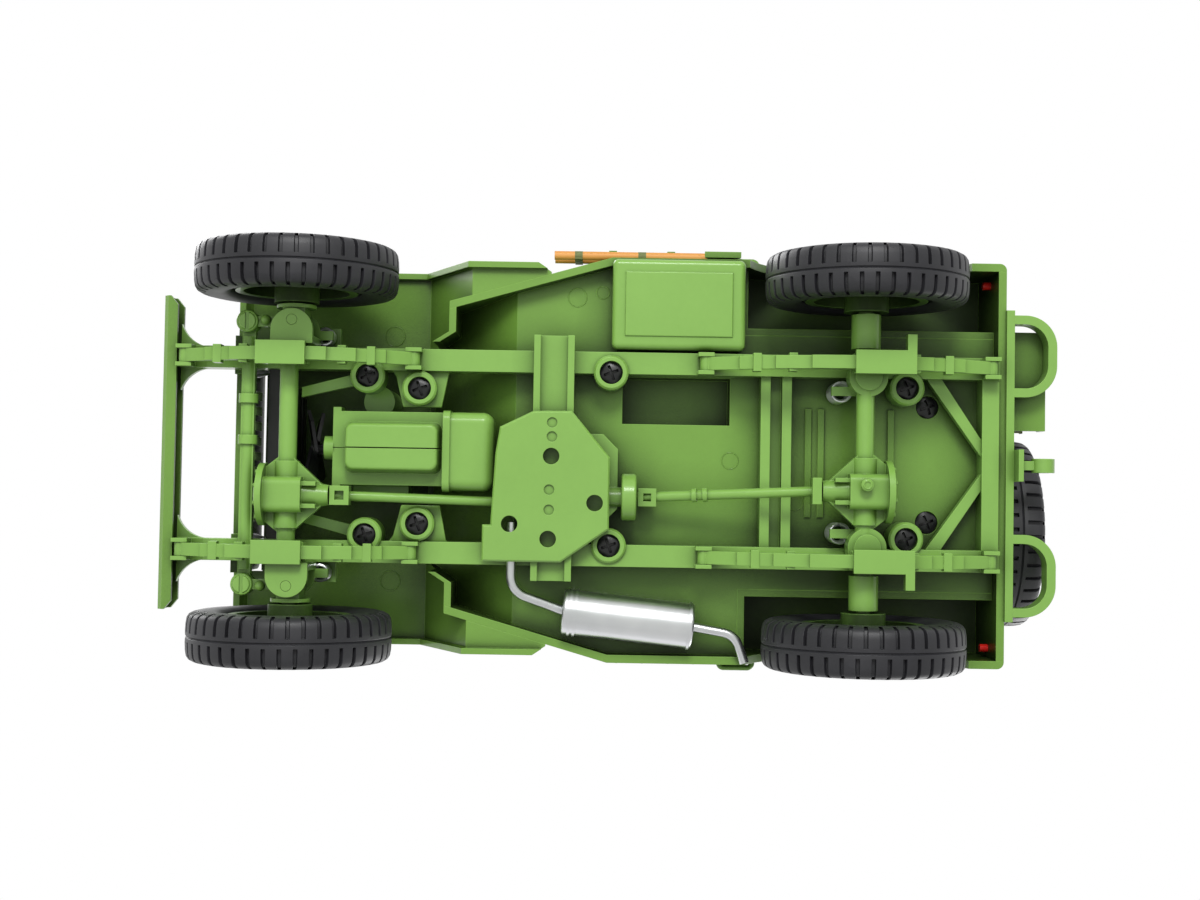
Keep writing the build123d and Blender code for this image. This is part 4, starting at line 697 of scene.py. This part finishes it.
# Columns: middle across, along and up, facing, width and length; each stands on both sides.
SEAT_PADS = (
    (17.6, 8.5, 42.2, UP, 14.6, 15.8),
    (17.6, 20.1, 50.6, BACK_FACING, 14.6, 13.0),
    (12.3, 57.3, 42.2, UP, 23.6, 15.6),
    (12.3, 68.7, 50.6, BACK_FACING, 23.6, 13.0),
)


def add_pad(form, place, facing, width, length):
    """A sewn cushion made flat, rim rolled and underside closed, then stood on a place."""
    pad = bmesh.new()
    bmesh.ops.create_grid(pad, x_segments=PAD_SEGMENTS, y_segments=PAD_SEGMENTS, size=1.0)
    for vert in pad.verts:
        x, y = vert.co.x, vert.co.y
        swell = (1 - x ** 4) * (1 - y ** 4)
        sewn = min(abs(abs(x) - CHANNEL_AT) / CHANNEL_HALF, 1.0)
        across = x * math.sqrt(1 - PAD_CORNER * y * y) * width / 2
        along = y * math.sqrt(1 - PAD_CORNER * x * x) * length / 2
        vert.co = Vector((across, along, PAD_TALL + PAD_CROWN * swell * (0.5 + 0.5 * sewn)))
    rim = [edge for edge in pad.edges if edge.is_boundary]
    for grow, drop in ((PAD_RIM, -PAD_STEP), (1 / PAD_RIM, -PAD_STEP), (1.0, 2 * PAD_STEP - PAD_TALL)):
        made = bmesh.ops.extrude_edge_only(pad, edges=rim)["geom"]
        ring = [part for part in made if isinstance(part, bmesh.types.BMVert)]
        bmesh.ops.scale(pad, vec=(grow, grow, 1), verts=ring)
        bmesh.ops.translate(pad, vec=(0, 0, drop), verts=ring)
        rim = [part for part in made if isinstance(part, bmesh.types.BMEdge)]
    bmesh.ops.holes_fill(pad, edges=rim)
    bmesh.ops.scale(pad, vec=(MM, MM, MM), verts=pad.verts[:])
    stand(pad, pad.verts[:], place, facing)
    join(form, pad)


seat = Finish(bpy.data.materials.new("seat_plastic"))
seat_fine = seat.noise(1800.0, 3.0, 0.6)
seat_plastic = seat.surface({
    "Base Color": seat.mix(seat_fine, linear(92, 100, 58), linear(122, 130, 78)),
    "Roughness": 0.62 + 0.15 * seat_fine,
    "Normal": seat.bump(0.4, 0.05 * MM, seat_fine),
})
pad_form = bmesh.new()
for across, along, up, facing, width, length in SEAT_PADS:
    for side in (-1, 1):
        add_pad(pad_form, (side * across, along, up), facing, width, length)
finished("seat_pads", pad_form, "chassis", seat_plastic)

# Tools: an axe and a shovel clipped to the left side, with orange-tan wooden handles.
# The heads are painted with the tub.
wood = Finish(bpy.data.materials.new("handle_wood"))
wood_long = wood.node("ShaderNodeMapping", {}, {"Vector": wood.place(), "Scale": (900.0, 60.0, 900.0)})
wood_grain = wood.noise(1.0, 4.0, 0.6, wood_long)
handle_wood = wood.surface({
    "Base Color": wood.mix(wood_grain, linear(196, 122, 48), linear(236, 176, 92)),
    "Roughness": 0.45 + 0.15 * wood_grain,
})
coat(handle_wood, "tool_handles")

# Lamps and glass: red tail lenses, clear plastic in the windshield, and fluted lenses silvered behind.
# The lenses are pressed into the grille and the rear panel from outside.
FLUTES_A_METRE = math.tau * 1400

red = Finish(bpy.data.materials.new("red_lens"))
red_cloud = red.noise(600.0, 2.0, 0.5)
red_lens = red.surface({
    "Base Color": red.mix(red_cloud, linear(170, 22, 18), linear(214, 40, 32)),
    "Roughness": 0.14 + 0.06 * red_cloud,
})
coat(red_lens, "tail_lamps")
clear = Finish(bpy.data.materials.new("clear_lens"))
clear_cloud = clear.noise(200.0, 2.0, 0.5)
clear_lens = clear.surface({
    "Base Color": (0.94, 0.96, 0.95, 1.0),
    "Roughness": 0.02 + 0.04 * clear_cloud,
    "Transmission Weight": 1.0,
    "IOR": 1.45,
})
coat(clear_lens, "windshield_glass")
fluted = Finish(bpy.data.materials.new("lamp_glass"))
fluted_place = fluted.node("ShaderNodeSeparateXYZ", {}, {0: fluted.place()})
flutes = (fluted_place * FLUTES_A_METRE).sine()
fluted_cloud = fluted.noise(500.0, 2.0, 0.5)
lamp_glass = fluted.surface({
    "Base Color": fluted.mix(
        flutes * 0.3 + fluted_cloud * 0.6, linear(166, 172, 176), linear(226, 230, 232)),
    "Metallic": 0.55,
    "Roughness": 0.10 + 0.10 * fluted_cloud,
    "Coat Weight": 1.0,
    "Normal": fluted.bump(0.5, 0.15 * MM, flutes),
})
coat(lamp_glass, "lamp_lenses")
coat(bright_plate, "headlamps")

# Lamp rims: a rolled ring pressed round each lens on the grille and on the rear panel.
# They are painted with the tub.
RING_STEPS = 36
FORWARD = (0, -1, 0)
REARWARD = (0, 1, 0)
# Columns: across, along, up, facing, ring radius and wire radius.
LAMP_RIMS = (
    (19.4, -77.25, 43.2, FORWARD, 3.75, 0.34),
    (19.4, -77.20, 37.4, FORWARD, 1.45, 0.22),
    (37.4, 80.10, 34.5, REARWARD, 1.90, 0.26),
)


def add_ring(form, place, facing, radius, wire):
    """A round wire bent into a ring."""
    ring = bmesh.new()
    section = bmesh.ops.create_circle(ring, segments=WIRE_SIDES, radius=wire * MM)["verts"]
    bmesh.ops.rotate(ring, cent=(0, 0, 0), matrix=Matrix.Rotation(QUARTER_TURN, 3, "X"), verts=section)
    bmesh.ops.translate(ring, vec=(radius * MM, 0, 0), verts=section)
    bmesh.ops.spin(
        ring, geom=section + ring.edges[:], cent=(0, 0, 0), axis=(0, 0, 1), dvec=(0, 0, 0),
        angle=math.tau, steps=RING_STEPS, use_merge=True, use_duplicate=False,
    )
    stand(ring, ring.verts[:], place, facing)
    join(form, ring)


rim_form = bmesh.new()
for across, along, up, facing, radius, wire_r in LAMP_RIMS:
    for side in (-1, 1):
        add_ring(rim_form, (side * across, along, up), facing, radius, wire_r)
finished("lamp_rims", rim_form, "chassis", body_green)

# Running gear fixings: a ring of bolts on each axle cover, a drain plug under the rear axle,
# and a plate under each boss beside the bell housing. All are moulded with the chassis.
# Columns: across, face along and facing.
AXLE_COVERS = ((-8.2, -69.0, FORWARD), (-5.8, 55.6, REARWARD))
COVER_BOLTS = 10
COVER_BOLT_R = 5.4
AXLE_Z = 20.0
DRAIN_PLUG = (-4.5, 50.0)
DRAIN_PLUG_R = 1.3
DRAIN_PLUG_TALL = 0.3
# The plate on the left side, corner by corner, across and along.
BOSS_PLATE = ((17.6, -43.9), (17.6, -32.7), (9.9, -34.2), (9.9, -42.0))
BOSS_PLATE_Z = (27.1, 28.4)


def soften(form, edge):
    """Rounds every edge of a small block."""
    bmesh.ops.bevel(
        form, geom=form.edges[:], offset=edge * MM, offset_type="OFFSET", affect="EDGES", segments=2,
        profile=0.5, material=-1, clamp_overlap=True,
    )


def add_plate(form, corners, low, high, edge=0.2):
    """A flat plate with rounded edges, from its outline and two heights in millimetres."""
    plate = bmesh.new()
    outline = [plate.verts.new((across * MM, along * MM, low * MM)) for across, along in corners]
    raised = bmesh.ops.extrude_face_region(plate, geom=[plate.faces.new(outline)], use_keep_orig=True)["geom"]
    top = [part for part in raised if isinstance(part, bmesh.types.BMVert)]
    bmesh.ops.translate(plate, vec=(0, 0, (high - low) * MM), verts=top)
    bmesh.ops.recalc_face_normals(plate, faces=plate.faces[:])
    soften(plate, edge)
    join(form, plate)


gear_form = bmesh.new()
for side in (-1, 1):
    add_plate(gear_form, [(side * across, along) for across, along in BOSS_PLATE], *BOSS_PLATE_Z)
for across, along, facing in AXLE_COVERS:
    for step in range(COVER_BOLTS):
        angle = math.tau * (step + 0.5) / COVER_BOLTS
        bolt_x = across + COVER_BOLT_R * math.sin(angle)
        bolt_z = AXLE_Z + COVER_BOLT_R * math.cos(angle)
        add_stud(gear_form, (bolt_x, along - 0.05 * facing[1], bolt_z), facing, 0.48, 0.45, 6, 0.9)
plug_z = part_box("rear_axle")[0].z / MM
add_stud(gear_form, (*DRAIN_PLUG, plug_z + 0.05), DOWN, DRAIN_PLUG_R, DRAIN_PLUG_TALL, 28, 0.9)
add_ring(gear_form, (*DRAIN_PLUG, plug_z + 0.05 - DRAIN_PLUG_TALL), DOWN, 0.75, 0.2)
finished("gear_fixings", gear_form, "chassis", chassis_green)

# Mould marks: faint rings that the ejector pins leave on the underside of floor and fenders.
# They stand a tenth of a millimetre off the casting, and are painted with it.
MARK_WIRE = 0.10
# Columns: across, along, up and radius.
MOULD_MARKS = (
    (33.2, -7.1, 31.0, 1.9), (34.3, -1.9, 31.0, 1.3), (0.2, 24.6, 31.0, 1.7), (-30.0, -4.0, 31.0, 1.9),
    (26.2, -46.4, 46.8, 2.1), (-26.2, -46.4, 46.8, 2.1), (-8.0, 38.0, 31.0, 1.7),
)
mark_form = bmesh.new()
for across, along, up, radius in MOULD_MARKS:
    add_ring(mark_form, (across, along, up), DOWN, radius, MARK_WIRE)
finished("mould_marks", mark_form, "chassis", body_green)

# Engine dressing: green head nuts moulded with the engine, four black plugs, and a cap on the radiator.
# The radiator's face is a row of upright black fins behind the grille.
HEAD_TOP_Z = 46.2
HEAD_X = 1.4
HEAD_YS = (-53.6, -49.7, -45.8, -41.9)
HEAD_NUT_OUT = 5.6
PLUG_OUT = -2.0
FILLER_CAP = (0.0, -68.0, 52.5)
FIN_PITCH = 1.1
FINS = 25
FIN_SIZE = (0.3, 16.0, 0.3)
FIN_FOOT = (-69.45, 40.4)


def add_slab(form, size, place, facing=UP, roll=0.0, edge=0.15):
    """A box with rounded edges, its foot on a place in millimetres; roll turns it about its facing."""
    slab = bmesh.new()
    bmesh.ops.create_cube(slab, size=1.0)
    bmesh.ops.scale(slab, vec=Vector(size) * MM, verts=slab.verts[:])
    soften(slab, edge)
    bmesh.ops.translate(slab, vec=(0, 0, size[2] / 2 * MM), verts=slab.verts[:])
    rolled = Matrix.Rotation(math.radians(roll), 3, "Z")
    bmesh.ops.rotate(slab, cent=(0, 0, 0), matrix=rolled, verts=slab.verts[:])
    stand(slab, slab.verts[:], place, facing)
    join(form, slab)


head_form = bmesh.new()
for along in HEAD_YS:
    for across in (HEAD_X - HEAD_NUT_OUT, HEAD_X + HEAD_NUT_OUT):
        add_stud(head_form, (across, along + 1.2, HEAD_TOP_Z - 0.05), UP, 0.6, 0.6, 6, 0.92)
    add_stud(head_form, (HEAD_X + PLUG_OUT, along + 0.6, HEAD_TOP_Z - 0.05), UP, 0.75, 0.5, 6)
finished("head_nuts", head_form, "chassis", chassis_green)
plug_form = bmesh.new()
for along in HEAD_YS:
    add_stud(plug_form, (HEAD_X + PLUG_OUT, along + 0.6, HEAD_TOP_Z + 0.4), UP, 0.42, 1.9, 14, 0.8)
add_stud(plug_form, FILLER_CAP, UP, 1.5, 0.3, 24)
add_stud(plug_form, (FILLER_CAP[0], FILLER_CAP[1], FILLER_CAP[2] + 0.2), UP, 1.1, 0.5, 6, 0.9)
for step in range(FINS):
    fin_x = (step - (FINS - 1) / 2) * FIN_PITCH
    add_slab(plug_form, FIN_SIZE, (fin_x, *FIN_FOOT), FORWARD, edge=0.06)
finished("plugs_and_fins", plug_form, "chassis", black_plastic)

# Dash: a cluster of one large and four small dials, and a row of pull knobs, on the panel's rear face.
# The dials are black plastic; needles and marks are ivory, with no figures.
DASH_FACE_Y = -22.0
# Columns: across, up, radius and needle angle.
DIALS = (
    (0.0, 52.8, 2.2, -50), (-4.4, 54.3, 1.1, 30), (4.4, 54.3, 1.1, -20), (-4.4, 51.3, 1.1, 60),
    (4.4, 51.3, 1.1, 10),
)
PULL_XS = (-11.6, -9.2, 9.2, 11.6, 14.0)
PULL_Z = 51.4
MARKS = 9
MARK_SWEEP = 240
MARK_START = 0.66

ivory = Finish(bpy.data.materials.new("dial_ivory"))
ivory_cloud = ivory.noise(900.0, 2.0, 0.5)
dial_ivory = ivory.surface({
    "Base Color": ivory.mix(ivory_cloud, linear(216, 210, 188), linear(236, 232, 214)),
    "Roughness": 0.40 + 0.15 * ivory_cloud,
})
dial_form = bmesh.new()
hand_form = bmesh.new()
for across, up, radius, needle in DIALS:
    add_stud(dial_form, (across, DASH_FACE_Y - 0.05, up), REARWARD, radius, 0.17, 32)
    add_ring(dial_form, (across, DASH_FACE_Y + 0.1, up), REARWARD, radius, 0.24)
    add_ball(dial_form, (across, DASH_FACE_Y + 0.15, up), 0.14 * radius)
    point = (math.sin(math.radians(needle)), 0, math.cos(math.radians(needle)))
    add_stud(hand_form, (across, DASH_FACE_Y + 0.2, up), point, 0.09, MARK_START * radius, 8, 0.4)
    for mark in range(MARKS):
        angle = math.radians(MARK_SWEEP * (mark / (MARKS - 1) - 0.5))
        out = (math.sin(angle), 0, math.cos(angle))
        reach = MARK_START * radius
        start = (across + reach * out[0], DASH_FACE_Y + 0.13, up + reach * out[2])
        add_stud(hand_form, start, out, 0.05, 0.16 * radius, 6)
for across in PULL_XS:
    add_stud(dial_form, (across, DASH_FACE_Y - 0.05, PULL_Z), REARWARD, 0.3, 0.8, 12)
    add_stud(dial_form, (across, DASH_FACE_Y + 0.6, PULL_Z), REARWARD, 0.65, 0.5, 20, 0.85)
finished("dash_dials", dial_form, "chassis", black_plastic)
finished("dial_hands", hand_form, "chassis", dial_ivory)

# Floor controls: one long and two short levers with boots, two round pedals and a flat throttle pedal.
# All are black plastic, set in the floor; a horn button sits on the steering wheel.
LEVER_R = 0.42
# Columns: foot, bend and top of each lever, and the knob's radius.
LEVERS = (
    ((1.0, -9.0, 32.4), (1.2, -8.4, 42.0), (2.6, -3.0, 49.4), 1.1),
    ((-2.4, -7.6, 32.4), (-2.4, -6.8, 39.0), (-2.4, -3.6, 43.4), 0.9),
    ((-5.2, -7.6, 32.4), (-5.2, -6.8, 38.4), (-5.2, -4.4, 42.4), 0.9),
)
PEDAL_XS = (14.2, 22.6)
PEDAL_FACING = (0, 0.80, 0.60)
# Along and up, from the toe board to the pad.
PEDAL_ARM = ((-27.6, 37.6), (-26.4, 42.4), (-22.0, 43.2))
PEDAL_ARM_R = 0.4
PEDAL_RIBS = (-0.8, 0.0, 0.8)
THROTTLE_PLACE = (26.0, -25.6, 36.9)
THROTTLE_FACING = (0, 0.562, 0.827)
HORN_PLACE = (18.4, -6.8, 58.14)
HORN_FACING = (0, 0.822, 0.570)


def add_wire(form, points, radius):
    """A smooth round rod led by points in millimetres."""
    line = bpy.data.curves.new("rod", "CURVE")
    line.dimensions = "3D"
    line.bevel_depth = radius * MM
    line.bevel_resolution = 3
    line.use_fill_caps = True
    spline = line.splines.new("NURBS")
    spline.points.add(len(points) - 1)
    for spot, guide in zip(points, spline.points):
        guide.co = (*(Vector(spot) * MM), 1.0)
    spline.order_u = 3
    spline.use_endpoint_u = True
    spline.resolution_u = 8
    holder = bpy.data.objects.new("rod", line)
    mesh = bpy.data.meshes.new_from_object(holder)
    form.from_mesh(mesh)
    bpy.data.objects.remove(holder)
    bpy.data.curves.remove(line)
    bpy.data.meshes.remove(mesh)


lever_form = bmesh.new()
for foot, bend, top, knob_r in LEVERS:
    add_wire(lever_form, (foot, bend, top), LEVER_R)
    add_ball(lever_form, top, knob_r)
    add_stud(lever_form, (foot[0], foot[1], foot[2] + 0.1), UP, 1.7, 0.4, 24)
    add_stud(lever_form, (foot[0], foot[1], foot[2] + 0.4), UP, 1.3, 1.6, 24, 0.4)
for across in PEDAL_XS:
    add_wire(lever_form, [(across, along, up) for along, up in PEDAL_ARM], PEDAL_ARM_R)
    add_stud(lever_form, (across, -22.2, 43.0), PEDAL_FACING, 1.7, 0.5, 28, 0.94)
    for rib in PEDAL_RIBS:
        rib_place = (across, -21.8 - PEDAL_FACING[2] * rib, 43.3 + PEDAL_FACING[1] * rib)
        add_slab(lever_form, (2.2, 0.3, 0.2), rib_place, PEDAL_FACING, edge=0.08)
add_slab(lever_form, (2.0, 4.6, 0.5), THROTTLE_PLACE, THROTTLE_FACING, edge=0.2)
add_stud(lever_form, HORN_PLACE, HORN_FACING, 1.5, 0.7, 28, 0.8)
finished("floor_controls", lever_form, "chassis", black_plastic)

# Tub trim: the rolled rim round the load space, and rivet heads below it and along the sills.
# Both are cast with the tub and painted over.
RIM_R = 0.9
RIM_LINE = (
    (40.2, 20.0, 51.9), (40.2, 48.0, 51.9), (40.2, 76.4, 51.9), (40.2, 79.2, 51.9), (37.4, 79.2, 51.9),
    (0.0, 79.2, 51.9), (-37.4, 79.2, 51.9), (-40.2, 79.2, 51.9), (-40.2, 76.4, 51.9), (-40.2, 48.0, 51.9),
    (-40.2, 20.0, 51.9),
)
TUB_SIDE_X = 41.0
TUB_BACK_Y = 80.0
RIVET_R = 0.42
RIVET_TALL = 0.25
RIVET_SUNK = 0.03
BACK_RIVET_ZS = (49.4, 29.0)
# Rows on each side: height, first station, pitch and count.
SIDE_RIVETS = ((49.4, 22.0, 5.6, 10), (29.2, 2.0, 5.2, 5))
BACK_RIVET_XS = (-38.6, -35.4, 28.6, 32.0, 35.4, 38.6)

trim_form = bmesh.new()
add_wire(trim_form, RIM_LINE, RIM_R)
for side in (-1, 1):
    for up, first, pitch, count in SIDE_RIVETS:
        for step in range(count):
            along = first + step * pitch
            rivet = (side * (TUB_SIDE_X - RIVET_SUNK), along, up)
            add_stud(trim_form, rivet, (side, 0, 0), RIVET_R, RIVET_TALL, 14, 0.55)
for across in BACK_RIVET_XS:
    for up in BACK_RIVET_ZS:
        add_stud(trim_form, (across, TUB_BACK_Y - RIVET_SUNK, up), REARWARD, RIVET_R, RIVET_TALL, 14, 0.55)
finished("tub_trim", trim_form, "chassis", body_green)

# Hood fittings: two rest blocks for the folded windshield, a barrel hinge at the rear edge and side
# catches, all painted. Every second barrel belongs to the cowl, and the catches' hooks to the fenders.
HINGE_Y = -33.3
HINGE_Z = 56.0
HINGE_R = 0.42
BARREL = 5.4
BARREL_GAP = 0.1
BARRELS = 9
CATCH_Y = -66.0
# The hook of the left catch: across and up.
CATCH_HOOK = ((27.6, 48.4), (27.7, 51.0), (27.0, 52.8), (26.2, 52.6))
CATCH_R = 0.24

hood_form = bmesh.new()
cowl_form = bmesh.new()
for step in range(BARRELS):
    start = (step - BARRELS / 2) * BARREL
    owner = cowl_form if step % 2 else hood_form
    add_stud(owner, (start + BARREL_GAP, HINGE_Y, HINGE_Z), (1, 0, 0), HINGE_R, BARREL - 2 * BARREL_GAP, 16)
for side in (-1, 1):
    add_slab(hood_form, (5.2, 2.8, 0.9), (side * 13.0, -56.0, 55.36), edge=0.25)
    add_slab(hood_form, (2.6, 1.2, 0.5), (side * 25.55, CATCH_Y, 51.2), (side, 0, 0), edge=0.15)
    add_slab(cowl_form, (2.2, 2.8, 0.5), (side * 27.6, CATCH_Y, 48.15), edge=0.12)
    add_wire(cowl_form, [(side * across, CATCH_Y, up) for across, up in CATCH_HOOK], CATCH_R)
finished("hood_fittings", hood_form, "hood_lid", body_green)
finished("hood_catches", cowl_form, "chassis", body_green)

# Windshield fittings: seals round both panes, a wiper on each and a wing nut on each side.
# They are black plastic, glued to the frame, and fold down with it.
SCREEN_Y = -30.4
PANE_X = (0.8, 26.4)
PANE_Z = (67.0, 85.8)
SEAL = 0.7
SEAL_DEEP = 0.4
SEAL_EDGE = 0.12
# The left wiper: its arm's points, its blade's top and the way the blade hangs.
WIPER_ARM = ((13.6, -31.4, 86.9), (12.4, -31.4, 84.6), (9.4, -31.1, 78.0))
BLADE_TOP = (11.2, -30.98, 82.2)
BLADE_FALL = (-0.42, 0, -0.908)
BLADE_LONG = 10.0
WING_NUT_X = 28.4
WING_NUT_Z = 62.4


def on_side(point, side):
    """A point or direction on the left side, or its mirror on the right."""
    return (side * point[0], point[1], point[2])


seal_form = bmesh.new()
for side in (-1, 1):
    for face in (-1, 1):
        depth = SCREEN_Y + face * 0.5
        width = PANE_X[1] - PANE_X[0]
        tall = PANE_Z[1] - PANE_Z[0]
        for up in (PANE_Z[0], PANE_Z[1] - SEAL):
            middle = (side * (PANE_X[0] + width / 2), depth, up)
            add_slab(seal_form, (width, SEAL_DEEP, SEAL), middle, edge=SEAL_EDGE)
        for across in (PANE_X[0] + SEAL / 2, PANE_X[1] - SEAL / 2):
            add_slab(seal_form, (SEAL, SEAL_DEEP, tall), (side * across, depth, PANE_Z[0]), edge=SEAL_EDGE)
    pivot_x, _, pivot_z = WIPER_ARM[0]
    add_stud(seal_form, (side * pivot_x, SCREEN_Y - 0.75, pivot_z), FORWARD, 0.55, 0.45, 20, 0.85)
    add_wire(seal_form, [on_side(point, side) for point in WIPER_ARM], 0.16)
    add_stud(seal_form, on_side(BLADE_TOP, side), on_side(BLADE_FALL, side), 0.24, BLADE_LONG, 8, 0.9)
    add_stud(seal_form, (side * WING_NUT_X, SCREEN_Y, WING_NUT_Z), (side, 0, 0), 0.9, 0.5, 20, 0.85)
    wing = (side * (WING_NUT_X + 0.3), SCREEN_Y, WING_NUT_Z - 0.35)
    add_slab(seal_form, (0.5, 2.8, 0.7), wing, roll=35, edge=0.15)
finished("windshield_fittings", seal_form, "windshield", black_plastic)

# Jerry can: a raised cross inside a raised border on the broad face, and a screw cap, painted with the can.
# The strap and its buckle are moulded in olive plastic like the seats.
CAN_X = 17.4
CAN_FACE_Y = 88.0
CAN_Z = 43.0
RELIEF_EDGE = 0.14
# The cross's bars: roll and height, unequal so that neither face lies in the other.
CAN_CROSS = ((-42, 0.32), (42, 0.38))
# The border's bars: across, up, width and length.
CAN_BORDER = ((0, 9.2, 15.0, 0.9), (0, -9.2, 15.0, 0.9), (7.5, 0, 0.9, 19.3), (-7.5, 0, 0.9, 19.3))
CAN_CAP = (11.5, 84.25)
STRAP_Z = 47.6
STRAP_THICK = 0.36
STRAP_WIDE = 1.9

can_form = bmesh.new()
for roll, tall in CAN_CROSS:
    add_slab(can_form, (1.5, 19.0, tall), (CAN_X, CAN_FACE_Y - 0.05, CAN_Z), REARWARD, roll, RELIEF_EDGE)
for across, up, width, length in CAN_BORDER:
    bar = (CAN_X + across, CAN_FACE_Y - 0.05, CAN_Z + up)
    add_slab(can_form, (width, length, 0.32), bar, REARWARD, edge=RELIEF_EDGE)
add_stud(can_form, (*CAN_CAP, 56.6), UP, 1.75, 0.8, 28, 0.92)
add_slab(can_form, (0.7, 4.2, 0.5), (*CAN_CAP, 57.3), edge=0.15)
finished("can_pressing", can_form, "chassis", body_green)
strap_form = bmesh.new()
strap_y = CAN_FACE_Y + 0.2
add_slab(strap_form, (19.8, STRAP_WIDE, STRAP_THICK), (CAN_X, strap_y, STRAP_Z), REARWARD, edge=0.1)
for across in (7.84, 26.96):
    add_slab(strap_form, (STRAP_THICK, 8.4, STRAP_WIDE), (across, 84.3, STRAP_Z - STRAP_WIDE / 2), edge=0.1)
add_slab(strap_form, (2.6, 2.6, 0.3), (CAN_X + 4.0, strap_y + 0.25, STRAP_Z), REARWARD, edge=0.12)

# Tool straps: two olive bands hold the axe and the shovel to the left side.
# Each is a flat strip with a loop round either handle, in one piece with the can's strap here.
HANDLE_X = 41.9
HANDLE_ZS = (31.4, 36.4)
BAND_YS = (-7.0, 6.0)
BAND_W = 1.6
BAND_R = 0.94
BAND_THICK = 0.2
BAND_SWEEP = math.radians(260)
BAND_START = math.radians(-40)


def add_band(form, along, up):
    """A flat band wrapped round a handle that lies along Y."""
    band = bmesh.new()
    ends = [band.verts.new((0, step * BAND_W / 2 * MM, BAND_R * MM)) for step in (-1, 1)]
    edge = band.edges.new(ends)
    bmesh.ops.rotate(band, cent=(0, 0, 0), matrix=Matrix.Rotation(BAND_START, 3, "Y"), verts=ends)
    bmesh.ops.spin(
        band, geom=ends + [edge], cent=(0, 0, 0), axis=(0, 1, 0), dvec=(0, 0, 0),
        angle=BAND_SWEEP, steps=26, use_merge=False, use_duplicate=False,
    )
    bmesh.ops.recalc_face_normals(band, faces=band.faces[:])
    bmesh.ops.solidify(band, geom=band.faces[:], thickness=BAND_THICK * MM)
    bmesh.ops.translate(band, vec=Vector((HANDLE_X, along, up)) * MM, verts=band.verts[:])
    join(form, band)


for along in BAND_YS:
    for up in HANDLE_ZS:
        add_band(strap_form, along, up)
    add_slab(strap_form, (0.3, BAND_W, 8.4), (41.15, along, 29.7), edge=0.1)
finished("straps", strap_form, "chassis", seat_plastic)
